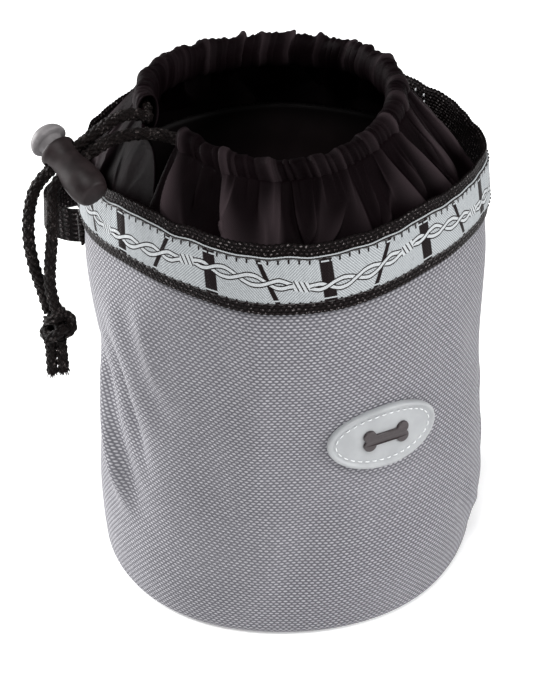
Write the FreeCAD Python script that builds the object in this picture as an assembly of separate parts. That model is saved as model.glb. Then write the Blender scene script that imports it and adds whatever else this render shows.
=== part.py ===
"""A round drawstring treat pouch: a stiff fabric cup with a gathered nylon collar, a decorated rim band,
a badge, a webbing loop and a spring cord lock on a loop of braided cord.

Millimetres, +Z up. The origin is the centre of the base's underside, and the badge faces -Y. An angle of
turn round the pouch is 0 at the badge and grows towards +X.
"""

import FreeCAD, Part
import math
import os

Vector = FreeCAD.Vector
AXIS_Z = Vector(0, 0, 1)
BASE_CENTRE = Vector(0, 0, 0)

# Shell and base
SHELL_THICKNESS = 1.2
LOW_RADIUS = 63.0
CORNER_RADIUS = 4.5
TOP_RADIUS = 58.0
SHELL_TOP_Z = 122.0
SEAM_RADIUS = LOW_RADIUS - CORNER_RADIUS
SEAM_TAPE_WIDTH = 2.0
LINING_THICKNESS = 0.5
COLLAR_SEAM_Z = 118.0

# Rim band, its ribbon and stitching
BAND_BOTTOM_Z = 118.5
BAND_HEIGHT = 20.0
BAND_THICKNESS = 1.2
RIBBON_HEIGHT = 13.5
RIBBON_THICKNESS = 0.5
RIBBON_BOTTOM_Z = BAND_BOTTOM_Z + 3.0
THREAD = 0.4
THREAD_INSET = 0.8
JOIN_TURN = 104.5
JOIN_SPACING = 4.0
JOIN_HEIGHT = 16.0

# Collar, with the hem that the cord runs in. The hem rises towards the back, so it's tilted about X, and the
# drawn cord holds it off centre, towards the lock.
COLLAR_THICKNESS = 0.6
HEM_Z = 151.5
HEM_TILT = 7.0
HEM_SHIFT_X = -2.5
HEM_RADIUS = 38.5
HEM_WIDTH = 7.0
HEM_HEIGHT = 9.0
HEM_CORNER = 2.4
CHANNEL_DIAMETER = 4.4
SLIT_FROM_TURN = -96.0
SLIT_TO_TURN = -67.0

# Badge
BADGE_WIDTH = 36.0
BADGE_HEIGHT = 20.0
BADGE_Z = 67.8
BADGE_FIELD = 1.2
BADGE_RIM = 1.8
BADGE_RIM_WIDTH = 1.3
BADGE_STITCH_INSET = 2.6
BONE_SHAFT_LENGTH = 9.6
BONE_SHAFT_HEIGHT = 3.2
BONE_LOBE_RADIUS = 1.8
BONE_TOP = 1.9

# Webbing loop
LOOP_TURN = -125.0
LOOP_HALF_WIDTH = 13.0
LOOP_DEPTH = 14.0
LOOP_BOTTOM_Z = 105.3
LOOP_HEIGHT = 13.0
LOOP_THICKNESS = 1.4
LOOP_TAB = 7.0
LOOP_SEAT_RADIUS = TOP_RADIUS + 1.2
BARTACK_WIDTH = 2.4
BARTACK_THICKNESS = 0.5

# Drawcord
CORD_DIAMETER = 3.8
KNOT_CENTRE = Vector(-75.2, -4.2, 95.6)
KNOT_RADIUS = 5.6
KNOT_HALF_HEIGHT = 5.8
TAIL_BITE = 0.8
CORD_END_LENGTH = 10.0

# Cord lock. Its own Z points at the button, its X along the two cords towards the hem, and its origin is the
# middle of its rim.
LOCK_HOLE_CENTRE = Vector(-67.3, -3.2, 145.1)
LOCK_BUTTON_DIRECTION = Vector(-0.263, 0.846, 0.466)
LOCK_CORD_DIRECTION = Vector(0.860, -0.011, 0.511)
LOCK_HOLE_DEPTH = 5.4
CORD_SPACING = 4.0
BARREL_LENGTH = 18.5
BARREL_RIM_RADIUS = 5.2
BARREL_WAIST_RADIUS = 4.8
BARREL_BELLY_RADIUS = 5.1
BARREL_END_RADIUS = 4.0
BARREL_FLOOR = 1.1
PLUNGER_BORE_RADIUS = 3.5
PLUNGER_RADIUS = 3.4
PLUNGER_LENGTH = 12.0
CORD_SLOT_WIDTH = 4.2
CORD_SLOT_LENGTH = 8.0
BUTTON_TRAVEL = 3.0
BUTTON_GAP = 3.2
DOME_RADIUS = 5.2
DOME_LIP = 0.9
SPRING_WIRE_RADIUS = 0.4
SPRING_RADIUS = 2.6
SPRING_TURNS = 2
SPRING_STEPS = 12


def at_turn(radius, turn, z):
    """The point at this distance from the pouch's axis, this many degrees round from the badge."""
    angle = math.radians(turn)
    return Vector(radius * math.sin(angle), -radius * math.cos(angle), z)


def face_of(edges):
    return Part.Face(Part.Wire(edges))


def line(a, b):
    return Part.LineSegment(a, b).toShape()


def arc(a, middle, b):
    return Part.Arc(a, middle, b).toShape()


def closed_outline(points):
    return face_of([line(a, b) for a, b in zip(points, points[1:] + points[:1])])


def ring(inner_radius, outer_radius, z, height):
    outer = Part.makeCylinder(outer_radius, height, Vector(0, 0, z))
    return outer.cut(Part.makeCylinder(inner_radius, height, Vector(0, 0, z)))


def ring_sector(inner_radius, outer_radius, z, height, from_turn, to_turn):
    """A ring's piece between two turns, swept about Z from the face at its first turn."""
    corners = [
        at_turn(inner_radius, from_turn, z),
        at_turn(outer_radius, from_turn, z),
        at_turn(outer_radius, from_turn, z + height),
        at_turn(inner_radius, from_turn, z + height),
    ]
    return closed_outline(corners).revolve(BASE_CENTRE, AXIS_Z, to_turn - from_turn)


def side_edges(depth):
    """The shell's side in the XZ plane, this deep under its outer surface, with its lower and upper ends."""
    low = LOW_RADIUS - depth
    top = TOP_RADIUS - depth
    corner = CORNER_RADIUS - depth
    bend = Vector(SEAM_RADIUS + corner * math.sqrt(0.5), 0, CORNER_RADIUS - corner * math.sqrt(0.5))
    side = line(Vector(low, 0, CORNER_RADIUS), Vector(top, 0, SHELL_TOP_Z))
    edges = [arc(Vector(SEAM_RADIUS, 0, depth), bend, Vector(low, 0, CORNER_RADIUS)), side]
    return edges, Vector(SEAM_RADIUS, 0, depth), Vector(top, 0, SHELL_TOP_Z)


def outline_solid(depth):
    """The whole space inside the shell's surface at this depth, base included."""
    edges, start, end = side_edges(depth)
    foot = Vector(0, 0, depth)
    head = Vector(0, 0, SHELL_TOP_Z)
    outline = face_of([line(foot, start)] + edges + [line(end, head), line(head, foot)])
    return outline.revolve(BASE_CENTRE, AXIS_Z, 360)


def shell_between(outer_depth, inner_depth):
    return outline_solid(outer_depth).cut(outline_solid(inner_depth))


def body_wall():
    return shell_between(0, SHELL_THICKNESS).cut(Part.makeCylinder(SEAM_RADIUS, SHELL_THICKNESS))


def base_panel():
    return Part.makeCylinder(SEAM_RADIUS - SEAM_TAPE_WIDTH, SHELL_THICKNESS)


def base_seam_tape():
    return ring(SEAM_RADIUS - SEAM_TAPE_WIDTH, SEAM_RADIUS, 0, SHELL_THICKNESS)


def lining_wall():
    inner_depth = SHELL_THICKNESS + LINING_THICKNESS
    lining = shell_between(SHELL_THICKNESS, inner_depth)
    lining = lining.cut(Part.makeCylinder(SEAM_RADIUS, inner_depth))
    above = Part.makeCylinder(LOW_RADIUS, HEM_Z, Vector(0, 0, COLLAR_SEAM_Z))
    return lining.cut(above)


def lining_base():
    return Part.makeCylinder(SEAM_RADIUS, LINING_THICKNESS, Vector(0, 0, SHELL_THICKNESS))


def rim_band():
    return ring(TOP_RADIUS, TOP_RADIUS + BAND_THICKNESS, BAND_BOTTOM_Z, BAND_HEIGHT).cut(outline_solid(0))


def rim_ribbon():
    inner = TOP_RADIUS + BAND_THICKNESS
    return ring(inner, inner + RIBBON_THICKNESS, RIBBON_BOTTOM_Z, RIBBON_HEIGHT)


def ribbon_stitch(z):
    inner = TOP_RADIUS + BAND_THICKNESS + RIBBON_THICKNESS
    return ring(inner, inner + THREAD, z, THREAD)


def band_join_stitching():
    """Two rows of thread up the band's inner face, where its two ends are sewn together."""
    half = math.degrees(JOIN_SPACING / 2 / TOP_RADIUS)
    width = math.degrees(THREAD / TOP_RADIUS)
    low = BAND_BOTTOM_Z + BAND_HEIGHT - JOIN_HEIGHT
    rows = [
        ring_sector(TOP_RADIUS - THREAD, TOP_RADIUS, low, JOIN_HEIGHT - 1, turn, turn + width)
        for turn in (JOIN_TURN - half, JOIN_TURN + half)
    ]
    return Part.makeCompound(rows)


def tilted(shape):
    """Moved from the level frame to the hem's own tilted and shifted frame."""
    turned = shape.copy()
    turned.rotate(Vector(0, 0, HEM_Z), Vector(1, 0, 0), HEM_TILT)
    turned.translate(Vector(HEM_SHIFT_X, 0, 0))
    return turned


def slit_wedge():
    """The V that the collar and its hem leave open under the cord lock, narrow at the collar's seam."""
    middle_turn = (SLIT_FROM_TURN + SLIT_TO_TURN) / 2
    half = HEM_RADIUS * math.sin(math.radians(SLIT_TO_TURN - middle_turn))
    foot = TOP_RADIUS * math.sin(math.radians(SLIT_TO_TURN - middle_turn))
    top_z = HEM_Z + 3 * HEM_HEIGHT
    foot_z = SHELL_TOP_Z + 1.5
    outline = closed_outline(
        [
            Vector(-half, 0, top_z),
            Vector(half, 0, top_z),
            Vector(half, 0, HEM_Z - HEM_HEIGHT / 2),
            Vector(foot, 0, foot_z),
            Vector(foot - 1.6, 0, foot_z),
            Vector(-half, 0, HEM_Z - HEM_HEIGHT / 2),
        ]
    )
    wedge = outline.extrude(Vector(0, -2 * LOW_RADIUS, 0))
    wedge.rotate(BASE_CENTRE, AXIS_Z, middle_turn)
    return wedge


def collar_cone(depth):
    """The space inside the collar's surface at this depth, from its seam up to the hem's flat underside."""
    low_r = TOP_RADIUS - SHELL_THICKNESS - depth
    high_r = HEM_RADIUS + HEM_WIDTH / 4 - depth
    low = Part.Wire([Part.makeCircle(low_r, Vector(0, 0, SHELL_TOP_Z))])
    high = Part.Wire([Part.makeCircle(high_r, Vector(0, 0, HEM_Z - HEM_HEIGHT / 2))])
    return Part.makeLoft([low, tilted(high)], True, True)


def collar():
    cone = collar_cone(0).cut(collar_cone(COLLAR_THICKNESS))
    outer = TOP_RADIUS - SHELL_THICKNESS
    flange = ring(outer - COLLAR_THICKNESS, outer, COLLAR_SEAM_Z, SHELL_TOP_Z - COLLAR_SEAM_Z)
    return cone.fuse(flange).removeSplitter().cut(slit_wedge())


def hem_sweep(profile):
    """A profile in the XZ plane, swept round the hem from one side of the slit the long way to the other."""
    start = profile.copy()
    start.rotate(BASE_CENTRE, AXIS_Z, SLIT_TO_TURN - 90)
    return tilted(start.revolve(BASE_CENTRE, AXIS_Z, 360 - (SLIT_TO_TURN - SLIT_FROM_TURN)))


def collar_hem():
    """The hem as a flat-bottomed tube with rounded edges, bored for the cord."""
    half_w = HEM_WIDTH / 2
    half_h = HEM_HEIGHT / 2
    block = Part.makeBox(HEM_WIDTH, 1, HEM_HEIGHT, Vector(HEM_RADIUS - half_w, 0, HEM_Z - half_h))
    along_y = [e for e in block.Edges if abs(e.tangentAt(e.FirstParameter).y) > 0.5]
    upper = [e for e in along_y if e.CenterOfMass.z > HEM_Z]
    rounded = block.makeFillet(HEM_CORNER, upper)
    section = [f for f in rounded.Faces if abs(f.CenterOfMass.y) < 1e-6][0]
    bore = face_of([Part.makeCircle(CHANNEL_DIAMETER / 2, Vector(HEM_RADIUS, 0, HEM_Z), Vector(0, 1, 0))])
    return hem_sweep(section.cut(bore).Faces[0])


def drawcord_channel_run():
    section = face_of([Part.makeCircle(CORD_DIAMETER / 2, Vector(HEM_RADIUS, 0, HEM_Z), Vector(0, 1, 0))])
    return hem_sweep(section)


def hem_mouth(turn):
    """The middle of the hem's bore at one end of the slit, and the way out of it."""
    centre = Part.Vertex(at_turn(HEM_RADIUS, turn, HEM_Z))
    way = 1 if turn == SLIT_FROM_TURN else -1
    ahead = Part.Vertex(at_turn(HEM_RADIUS, turn, HEM_Z) + way * at_turn(1, turn + 90, 0))
    start = tilted(centre).Point
    return start, (tilted(ahead).Point - start).normalize()


def oval_prism(half_width, half_height):
    """An oval bar through the front of the shell at the badge's height, along Y."""
    ellipse = Part.Ellipse(Vector(0, 0, 0), half_width, half_height)
    prism = face_of([ellipse.toShape()]).extrude(Vector(0, 0, 2 * LOW_RADIUS))
    prism.rotate(BASE_CENTRE, Vector(1, 0, 0), 90)
    prism.translate(Vector(0, 0, BADGE_Z))
    return prism


def raised(prism, low, high):
    """What this prism cuts from the layer that lies between two heights above the shell's surface."""
    return prism.common(outline_solid(-high)).cut(outline_solid(-low))


def badge_plate():
    half_w = BADGE_WIDTH / 2
    half_h = BADGE_HEIGHT / 2
    field = raised(oval_prism(half_w, half_h), 0, BADGE_FIELD)
    rim = raised(oval_prism(half_w, half_h), BADGE_FIELD, BADGE_RIM)
    rim = rim.cut(oval_prism(half_w - BADGE_RIM_WIDTH, half_h - BADGE_RIM_WIDTH))
    return field.fuse(rim).removeSplitter()


def badge_stitching():
    half_w = BADGE_WIDTH / 2 - BADGE_STITCH_INSET
    half_h = BADGE_HEIGHT / 2 - BADGE_STITCH_INSET
    row = oval_prism(half_w, half_h).cut(oval_prism(half_w - THREAD, half_h - THREAD))
    return raised(row, BADGE_FIELD, BADGE_FIELD + THREAD / 2)


def badge_bone():
    """A plain bone shape: a straight shaft with two round lobes at each end."""
    half_h = BONE_SHAFT_HEIGHT / 2
    lobe_x = BONE_SHAFT_LENGTH / 2 + BONE_LOBE_RADIUS / 2
    notch_x = lobe_x + math.sqrt(BONE_LOBE_RADIUS**2 - half_h**2)
    neck_x = lobe_x - BONE_LOBE_RADIUS
    crest = half_h + BONE_LOBE_RADIUS
    edges = []
    for side in (1, -1):
        notch = Vector(side * notch_x, 0, 0)
        neck = Vector(side * neck_x, 0, side * half_h)
        far_neck = Vector(side * neck_x, 0, -side * half_h)
        edges.append(line(Vector(-side * neck_x, 0, side * half_h), neck))
        edges.append(arc(neck, Vector(side * lobe_x, 0, side * crest), notch))
        edges.append(arc(notch, Vector(side * lobe_x, 0, -side * crest), far_neck))
    bone = face_of(edges).extrude(Vector(0, -2 * LOW_RADIUS, 0))
    bone.translate(Vector(0, 0, BADGE_Z))
    return raised(bone, BADGE_FIELD, BONE_TOP)


def belt_loop():
    """A strip of webbing whose middle stands out from the shell and whose two ends are sewn flat to it."""
    half = LOOP_HALF_WIDTH
    thick = LOOP_THICKNESS
    foot_r = LOOP_SEAT_RADIUS - 3
    crest_r = LOOP_SEAT_RADIUS + LOOP_DEPTH
    outer_feet = [Vector(x, -foot_r, 0) for x in (half, -half)]
    inner_feet = [Vector(x, -foot_r, 0) for x in (thick - half, half - thick)]
    outer = arc(outer_feet[0], Vector(0, -crest_r, 0), outer_feet[1])
    inner = arc(inner_feet[0], Vector(0, thick - crest_r, 0), inner_feet[1])
    left = line(outer_feet[1], inner_feet[0])
    right = line(inner_feet[1], outer_feet[0])
    bow = face_of([outer, left, inner, right]).extrude(Vector(0, 0, LOOP_HEIGHT))
    bow.translate(Vector(0, 0, LOOP_BOTTOM_Z))
    from_turn = math.degrees((half - thick) / LOOP_SEAT_RADIUS)
    to_turn = from_turn + math.degrees(LOOP_TAB / LOOP_SEAT_RADIUS)
    strap = bow
    for a, b in ((-to_turn, -from_turn), (from_turn, to_turn)):
        tab = ring_sector(foot_r, LOOP_SEAT_RADIUS + thick, LOOP_BOTTOM_Z, LOOP_HEIGHT, a, b)
        strap = strap.fuse(tab)
    strap = strap.removeSplitter().cut(outline_solid(0))
    strap.rotate(BASE_CENTRE, AXIS_Z, LOOP_TURN)
    return strap


def loop_bartack(side):
    """A bar of stitching across one sewn end of the webbing loop."""
    inner = LOOP_SEAT_RADIUS + LOOP_THICKNESS
    middle = LOOP_TURN + side * math.degrees((LOOP_HALF_WIDTH + LOOP_TAB / 2) / inner)
    half = math.degrees(BARTACK_WIDTH / 2 / inner)
    z = LOOP_BOTTOM_Z + 1
    return ring_sector(inner, inner + BARTACK_THICKNESS, z, LOOP_HEIGHT - 2, middle - half, middle + half)


def lock_placement():
    """From the lock's own frame, with its rim at the origin, to the pouch's."""
    z = Vector(LOCK_BUTTON_DIRECTION).normalize()
    x = Vector(LOCK_CORD_DIRECTION)
    x = (x - z * x.dot(z)).normalize()
    y = z.cross(x)
    rim = LOCK_HOLE_CENTRE + z * LOCK_HOLE_DEPTH
    return FreeCAD.Placement(
        FreeCAD.Matrix(x.x, y.x, z.x, rim.x, x.y, y.y, z.y, rim.y, x.z, y.z, z.z, rim.z, 0, 0, 0, 1)
    )


def in_lock(shape):
    placed = shape.copy()
    placed.transformShape(lock_placement().toMatrix())
    return placed


def lock_point(x, z):
    return lock_placement().multVec(Vector(x, 0, z))


def turned(edges):
    return face_of(edges).revolve(BASE_CENTRE, AXIS_Z, 360)


def cord_slot(top_z, bottom_z):
    length = top_z - bottom_z
    reach = 4 * BARREL_RIM_RADIUS
    return Part.makeBox(reach, CORD_SLOT_WIDTH, length, Vector(-reach / 2, -CORD_SLOT_WIDTH / 2, bottom_z))


def lock_barrel():
    """A slim barrel with a waist at the cord hole and a rounded closed end."""
    top = Vector(BARREL_RIM_RADIUS, 0, 0)
    lip = Vector(BARREL_RIM_RADIUS, 0, -1.6)
    waist = Vector(BARREL_WAIST_RADIUS, 0, -LOCK_HOLE_DEPTH)
    belly = Vector(BARREL_BELLY_RADIUS, 0, -0.68 * BARREL_LENGTH)
    end = Vector(BARREL_END_RADIUS, 0, -BARREL_LENGTH)
    shoulder = Vector(BARREL_BELLY_RADIUS - 0.35, 0, -0.93 * BARREL_LENGTH)
    foot = Vector(0, 0, -BARREL_LENGTH)
    solid = turned(
        [
            line(Vector(0, 0, 0), top),
            line(top, lip),
            line(lip, waist),
            line(waist, belly),
            arc(belly, shoulder, end),
            line(end, foot),
            line(foot, Vector(0, 0, 0)),
        ]
    )
    bore = Part.makeCylinder(PLUNGER_BORE_RADIUS, BARREL_LENGTH, Vector(0, 0, BARREL_FLOOR - BARREL_LENGTH))
    half = CORD_SLOT_LENGTH / 2
    return in_lock(solid.cut(bore).cut(cord_slot(half - LOCK_HOLE_DEPTH, -half - LOCK_HOLE_DEPTH)))


def lock_plunger():
    """The domed button on its slotted shaft. The slot is longer than the barrel's by the button's travel."""
    shaft = Part.makeCylinder(PLUNGER_RADIUS, PLUNGER_LENGTH + BUTTON_GAP, Vector(0, 0, -PLUNGER_LENGTH))
    dome = Part.makeCylinder(DOME_RADIUS, 2 * DOME_RADIUS, Vector(0, 0, BUTTON_GAP))
    dome = dome.common(Part.makeSphere(DOME_RADIUS + DOME_LIP / 4, Vector(0, 0, BUTTON_GAP + DOME_LIP / 4)))
    half = CORD_SLOT_LENGTH / 2
    slot = cord_slot(half - LOCK_HOLE_DEPTH + BUTTON_TRAVEL + 0.2, -half - LOCK_HOLE_DEPTH + 0.05)
    return in_lock(shaft.fuse(dome).removeSplitter().cut(slot))


def cord_route(points):
    """Straight runs with an arc at each inner point, as large as its two runs allow, and the arcs' radii."""
    edges = []
    radii = []
    start = points[0]
    for before, corner, after in zip(points, points[1:], points[2:]):
        to_before = (before - corner).normalize()
        to_after = (after - corner).normalize()
        half_turn = (math.pi - to_before.getAngle(to_after)) / 2
        cut = 0.45 * min((before - corner).Length, (after - corner).Length)
        radius = cut / math.tan(half_turn)
        first = corner + to_before * cut
        last = corner + to_after * cut
        inward = (to_before + to_after).normalize()
        centre = corner + inward * math.hypot(cut, radius)
        edges.append(line(start, first))
        edges.append(arc(first, centre - inward * radius, last))
        radii.append(radius)
        start = last
    edges.append(line(start, points[-1]))
    return edges, radii


def tube_along(path, points, diameter):
    section = Part.Wire([Part.makeCircle(diameter / 2, points[0], points[1] - points[0])])
    return path.makePipeShell([section], True, False)


def lock_spring():
    """The coil under the plunger, between its end and the barrel's floor, as short runs joined by arcs."""
    low = BARREL_FLOOR - BARREL_LENGTH + SPRING_WIRE_RADIUS + 0.2
    high = -PLUNGER_LENGTH - SPRING_WIRE_RADIUS - 0.2
    steps = SPRING_TURNS * SPRING_STEPS
    points = []
    for step in range(steps + 1):
        angle = 2 * math.pi * step / SPRING_STEPS
        z = low + (high - low) * step / steps
        points.append(Vector(SPRING_RADIUS * math.cos(angle), SPRING_RADIUS * math.sin(angle), z))
    path = Part.Wire(cord_route(points)[0])
    return in_lock(tube_along(path, points, 2 * SPRING_WIRE_RADIUS))


def cord_tube(name, points):
    edges, radii = cord_route(points)
    path = Part.Wire(edges)
    tube = tube_along(path, points, CORD_DIAMETER)
    ratio = tube.Volume / (path.Length * math.pi * CORD_DIAMETER**2 / 4)
    print(name, "length", round(path.Length, 1), "volume ratio", round(ratio, 3))
    print(name, "radii", [round(radius, 1) for radius in radii])
    return tube


def drawcord_lead_upper():
    """From the slit's rear hem mouth to the lock's cord hole, on the button's side."""
    start, way = hem_mouth(SLIT_FROM_TURN)
    z = CORD_SPACING / 2 - LOCK_HOLE_DEPTH
    points = [start, start + way * 3.5]
    points += [Vector(-43.8, -0.8, 153.8), Vector(-47.6, -1.5, 155.2), Vector(-52.0, -1.4, 154.6)]
    return cord_tube("lead_upper", points + [lock_point(10, z), lock_point(0, z)])


def drawcord_lead_lower():
    """From the slit's front hem mouth to the lock's cord hole, on the barrel's side."""
    start, way = hem_mouth(SLIT_TO_TURN)
    z = -CORD_SPACING / 2 - LOCK_HOLE_DEPTH
    points = [start, start + way * 4.5]
    points += [Vector(-45.6, -8.8, 151.6), Vector(-51.6, -5.6, 150.9)]
    return cord_tube("lead_lower", points + [lock_point(10, z), lock_point(0, z)])


def drawcord_tail_left():
    """From the lock's cord hole down to the knot, bowed outwards, and cut flush with the knot's top."""
    z = CORD_SPACING / 2 - LOCK_HOLE_DEPTH
    points = [lock_point(0, z), lock_point(-9, z)]
    points += [Vector(-79.2, -2.1, 134.4), Vector(-80.8, -2.8, 125.4), Vector(-80.2, -3.0, 116.4)]
    points += [Vector(-78.4, -2.2, 108.6), KNOT_CENTRE + Vector(-1.9, 1.8, KNOT_HALF_HEIGHT - TAIL_BITE)]
    return cord_tube("tail_left", points).cut(drawcord_knot())


def drawcord_tail_right():
    """From the lock's cord hole down to the knot, nearly straight, and cut flush with the knot's top."""
    z = -CORD_SPACING / 2 - LOCK_HOLE_DEPTH
    points = [lock_point(0, z), lock_point(-7, z)]
    points += [Vector(-73.8, -7.6, 134.6), Vector(-75.5, -8.1, 125.6), Vector(-76.9, -7.4, 116.4)]
    points += [Vector(-77.3, -6.4, 108.4), KNOT_CENTRE + Vector(-0.3, -2.2, KNOT_HALF_HEIGHT - TAIL_BITE)]
    return cord_tube("tail_right", points).cut(drawcord_knot())


def drawcord_knot():
    """The outer shape of the overhand knot that both tails are tied in, flat at its top and bottom."""
    knot = Part.makeSphere(KNOT_RADIUS * 1.25, KNOT_CENTRE)
    foot = KNOT_CENTRE - Vector(0, 0, KNOT_HALF_HEIGHT)
    slab = Part.makeCylinder(2 * KNOT_RADIUS, 2 * KNOT_HALF_HEIGHT, foot)
    return knot.common(slab)


def drawcord_ends():
    """The two cut ends that hang out of the knot."""
    foot = KNOT_CENTRE - Vector(0, 0, KNOT_HALF_HEIGHT)
    ends = [
        Part.makeCylinder(CORD_DIAMETER / 2, CORD_END_LENGTH, foot + offset, Vector(0, 0, -1))
        for offset in (Vector(-3.0, 0.8, 0), Vector(0.3, -1.3, 0))
    ]
    return Part.makeCompound(ends)


NODES = {
    "body_wall": body_wall,
    "base_panel": base_panel,
    "base_seam_tape": base_seam_tape,
    "lining_wall": lining_wall,
    "lining_base": lining_base,
    "rim_band": rim_band,
    "rim_ribbon": rim_ribbon,
    "ribbon_stitch_lower": lambda: ribbon_stitch(RIBBON_BOTTOM_Z + THREAD_INSET),
    "ribbon_stitch_upper": lambda: ribbon_stitch(RIBBON_BOTTOM_Z + RIBBON_HEIGHT - THREAD_INSET - THREAD),
    "band_join_stitching": band_join_stitching,
    "collar": collar,
    "collar_hem": collar_hem,
    "badge_plate": badge_plate,
    "badge_stitching": badge_stitching,
    "badge_bone": badge_bone,
    "belt_loop": belt_loop,
    "loop_bartack_front": lambda: loop_bartack(1),
    "loop_bartack_rear": lambda: loop_bartack(-1),
    "drawcord_channel_run": drawcord_channel_run,
    "drawcord_lead_upper": drawcord_lead_upper,
    "drawcord_lead_lower": drawcord_lead_lower,
    "drawcord_tail_left": drawcord_tail_left,
    "drawcord_tail_right": drawcord_tail_right,
    "drawcord_knot": drawcord_knot,
    "drawcord_ends": drawcord_ends,
    "lock_barrel": lock_barrel,
    "lock_plunger": lock_plunger,
    "lock_spring": lock_spring,
}

os.makedirs("parts", exist_ok=True)
for node, make in NODES.items():
    shape = make()
    print(node, "solids", len(shape.Solids), "valid", shape.isValid(), "mm3", round(shape.Volume, 1))
    shape.exportStep("parts/" + node + ".step")
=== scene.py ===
"""The looks of the treat pouch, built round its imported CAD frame.

Shapes are worked out in millimetres and turned into metres when their mesh is made. A turn is an angle round
the pouch's axis in degrees, 0 at the badge and growing towards +X, as in the CAD.
"""

import math

import bpy
import numpy as np
from mathutils import Matrix, Vector


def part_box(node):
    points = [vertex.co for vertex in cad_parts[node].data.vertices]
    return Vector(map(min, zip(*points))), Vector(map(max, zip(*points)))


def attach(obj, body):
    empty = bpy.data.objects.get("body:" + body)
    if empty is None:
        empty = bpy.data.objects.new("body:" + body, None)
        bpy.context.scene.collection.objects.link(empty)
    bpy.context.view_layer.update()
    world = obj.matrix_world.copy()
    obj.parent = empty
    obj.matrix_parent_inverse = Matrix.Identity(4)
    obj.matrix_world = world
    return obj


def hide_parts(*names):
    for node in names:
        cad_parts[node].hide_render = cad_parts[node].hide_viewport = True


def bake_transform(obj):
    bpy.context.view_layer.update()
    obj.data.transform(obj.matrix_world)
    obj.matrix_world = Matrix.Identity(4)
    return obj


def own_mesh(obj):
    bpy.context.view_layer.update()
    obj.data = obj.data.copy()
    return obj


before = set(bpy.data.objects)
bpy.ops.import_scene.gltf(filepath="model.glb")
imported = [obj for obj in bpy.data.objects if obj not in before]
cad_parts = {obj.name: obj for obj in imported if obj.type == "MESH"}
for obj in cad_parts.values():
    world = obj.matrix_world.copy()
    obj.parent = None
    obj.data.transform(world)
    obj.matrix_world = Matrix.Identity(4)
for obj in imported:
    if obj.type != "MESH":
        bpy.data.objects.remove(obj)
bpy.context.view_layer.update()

MM = 0.001
CAMERA_PLACE = (-0.1765, -0.3700, 0.3063)
CAMERA_HEADING = 24.57
CAMERA_PITCH = 29.95
CAMERA_ROLL = -1.88
CAMERA_LENS = 79.4
FLOOR_HALF = 4.0
FLOOR_GLOW = 0.32
WORLD_GLOW = 0.26
LIGHT_AIM = (0, 0, 0.08)
# Each light's place, size and power.
LIGHTS = {
    "left": ((-0.62, 0.72, 0.34), 0.5, 17.0),
    "right": ((0.66, -0.74, 0.44), 0.6, 8.4),
    "top": ((-0.34, -0.40, 0.92), 0.35, 7.0),
}


# ---- sizes, in millimetres, read from the frame where a CAD node gives them


def low_corner(node):
    return np.array(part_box(node)[0]) / MM


def high_corner(node):
    return np.array(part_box(node)[1]) / MM


def node_size(node):
    return high_corner(node) - low_corner(node)


BAND_HEIGHT = node_size("rim_band")[2]
RIBBON_HEIGHT = node_size("rim_ribbon")[2]
RIBBON_LIFT = (low_corner("rim_ribbon") - low_corner("rim_band"))[2]
BADGE_WIDTH, _, BADGE_HEIGHT = node_size("badge_plate")
BADGE_Z = (high_corner("badge_plate") + low_corner("badge_plate"))[2] / 2
BADGE_SHIFT = 1.3
BADGE_ROUND = 61.0
BAND_THICKNESS = 1.2
SHELL_THICKNESS = 1.2
BASE_THICKNESS = 0.9
LINING_THICKNESS = 0.45
RIBBON_THICKNESS = 0.42
HEM_THICKNESS = 0.5
COLLAR_THICKNESS = 0.4
FOOT_CORNER = 4.0
CORD = 3.8
BRAID_STRANDS = 6
BRAID_LAY = 5.2
BRAID_RELIEF = 0.62
STITCH_CORNERS = 6
STITCH_RINGS = 7
# Each kind of stitch: its length, the gap after it, the thread's radius, and how deep it sinks in.
RIBBON_STITCH = (1.9, 0.8, 0.2, 0.05)
JOIN_STITCH = (1.2, 1.0, 0.28, 0.08)
BADGE_STITCH = (1.5, 0.8, 0.2, 0.1)
TACK_STITCH = (1.0, 0.25, 0.26, 0.05)
JOIN_TURNS = (102.5, 106.5)
# How far the fabric's own U runs in one turn round the pouch. Every pattern fits in it a whole number of
# times.
UV_WRAP = 372.0


# ---- the pouch's outline


def smooth_step(low, high, x):
    t = np.clip((np.asarray(x, float) - low) / (high - low), 0, 1)
    return t * t * (3 - 2 * t)


def turn_past(turn, start):
    """How far a turn lies past another, from -180 to 180 degrees."""
    return (turn - start + 180) % 360 - 180


def ring_curve(points, blur=7.0):
    """A function of turn through these (turn, value) pairs, rounded over about this many degrees."""
    pairs = sorted((turn % 360, value) for turn, value in points)
    turns = np.arange(0, 360, 0.5)
    values = np.interp(turns, [p[0] for p in pairs], [p[1] for p in pairs], period=360)
    kernel = np.exp(-((turn_past(turns, 0) / blur) ** 2))
    rounded = np.real(np.fft.ifft(np.fft.fft(values) * np.fft.fft(kernel / kernel.sum())))
    return lambda turn: np.interp(np.mod(turn, 360), turns, rounded, period=360)


def height_curve(points, blur=5.0):
    """A function of height through these (height, value) pairs, rounded over about this many millimetres."""
    heights = np.arange(-20, 200, 0.5)
    values = np.interp(heights, [p[0] for p in points], [p[1] for p in points])
    kernel = np.exp(-((np.arange(-15, 15.5, 0.5) / blur) ** 2))
    rounded = np.convolve(np.pad(values, 30, mode="edge"), kernel / kernel.sum(), mode="valid")
    return lambda z: np.interp(z, heights, rounded)


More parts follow.
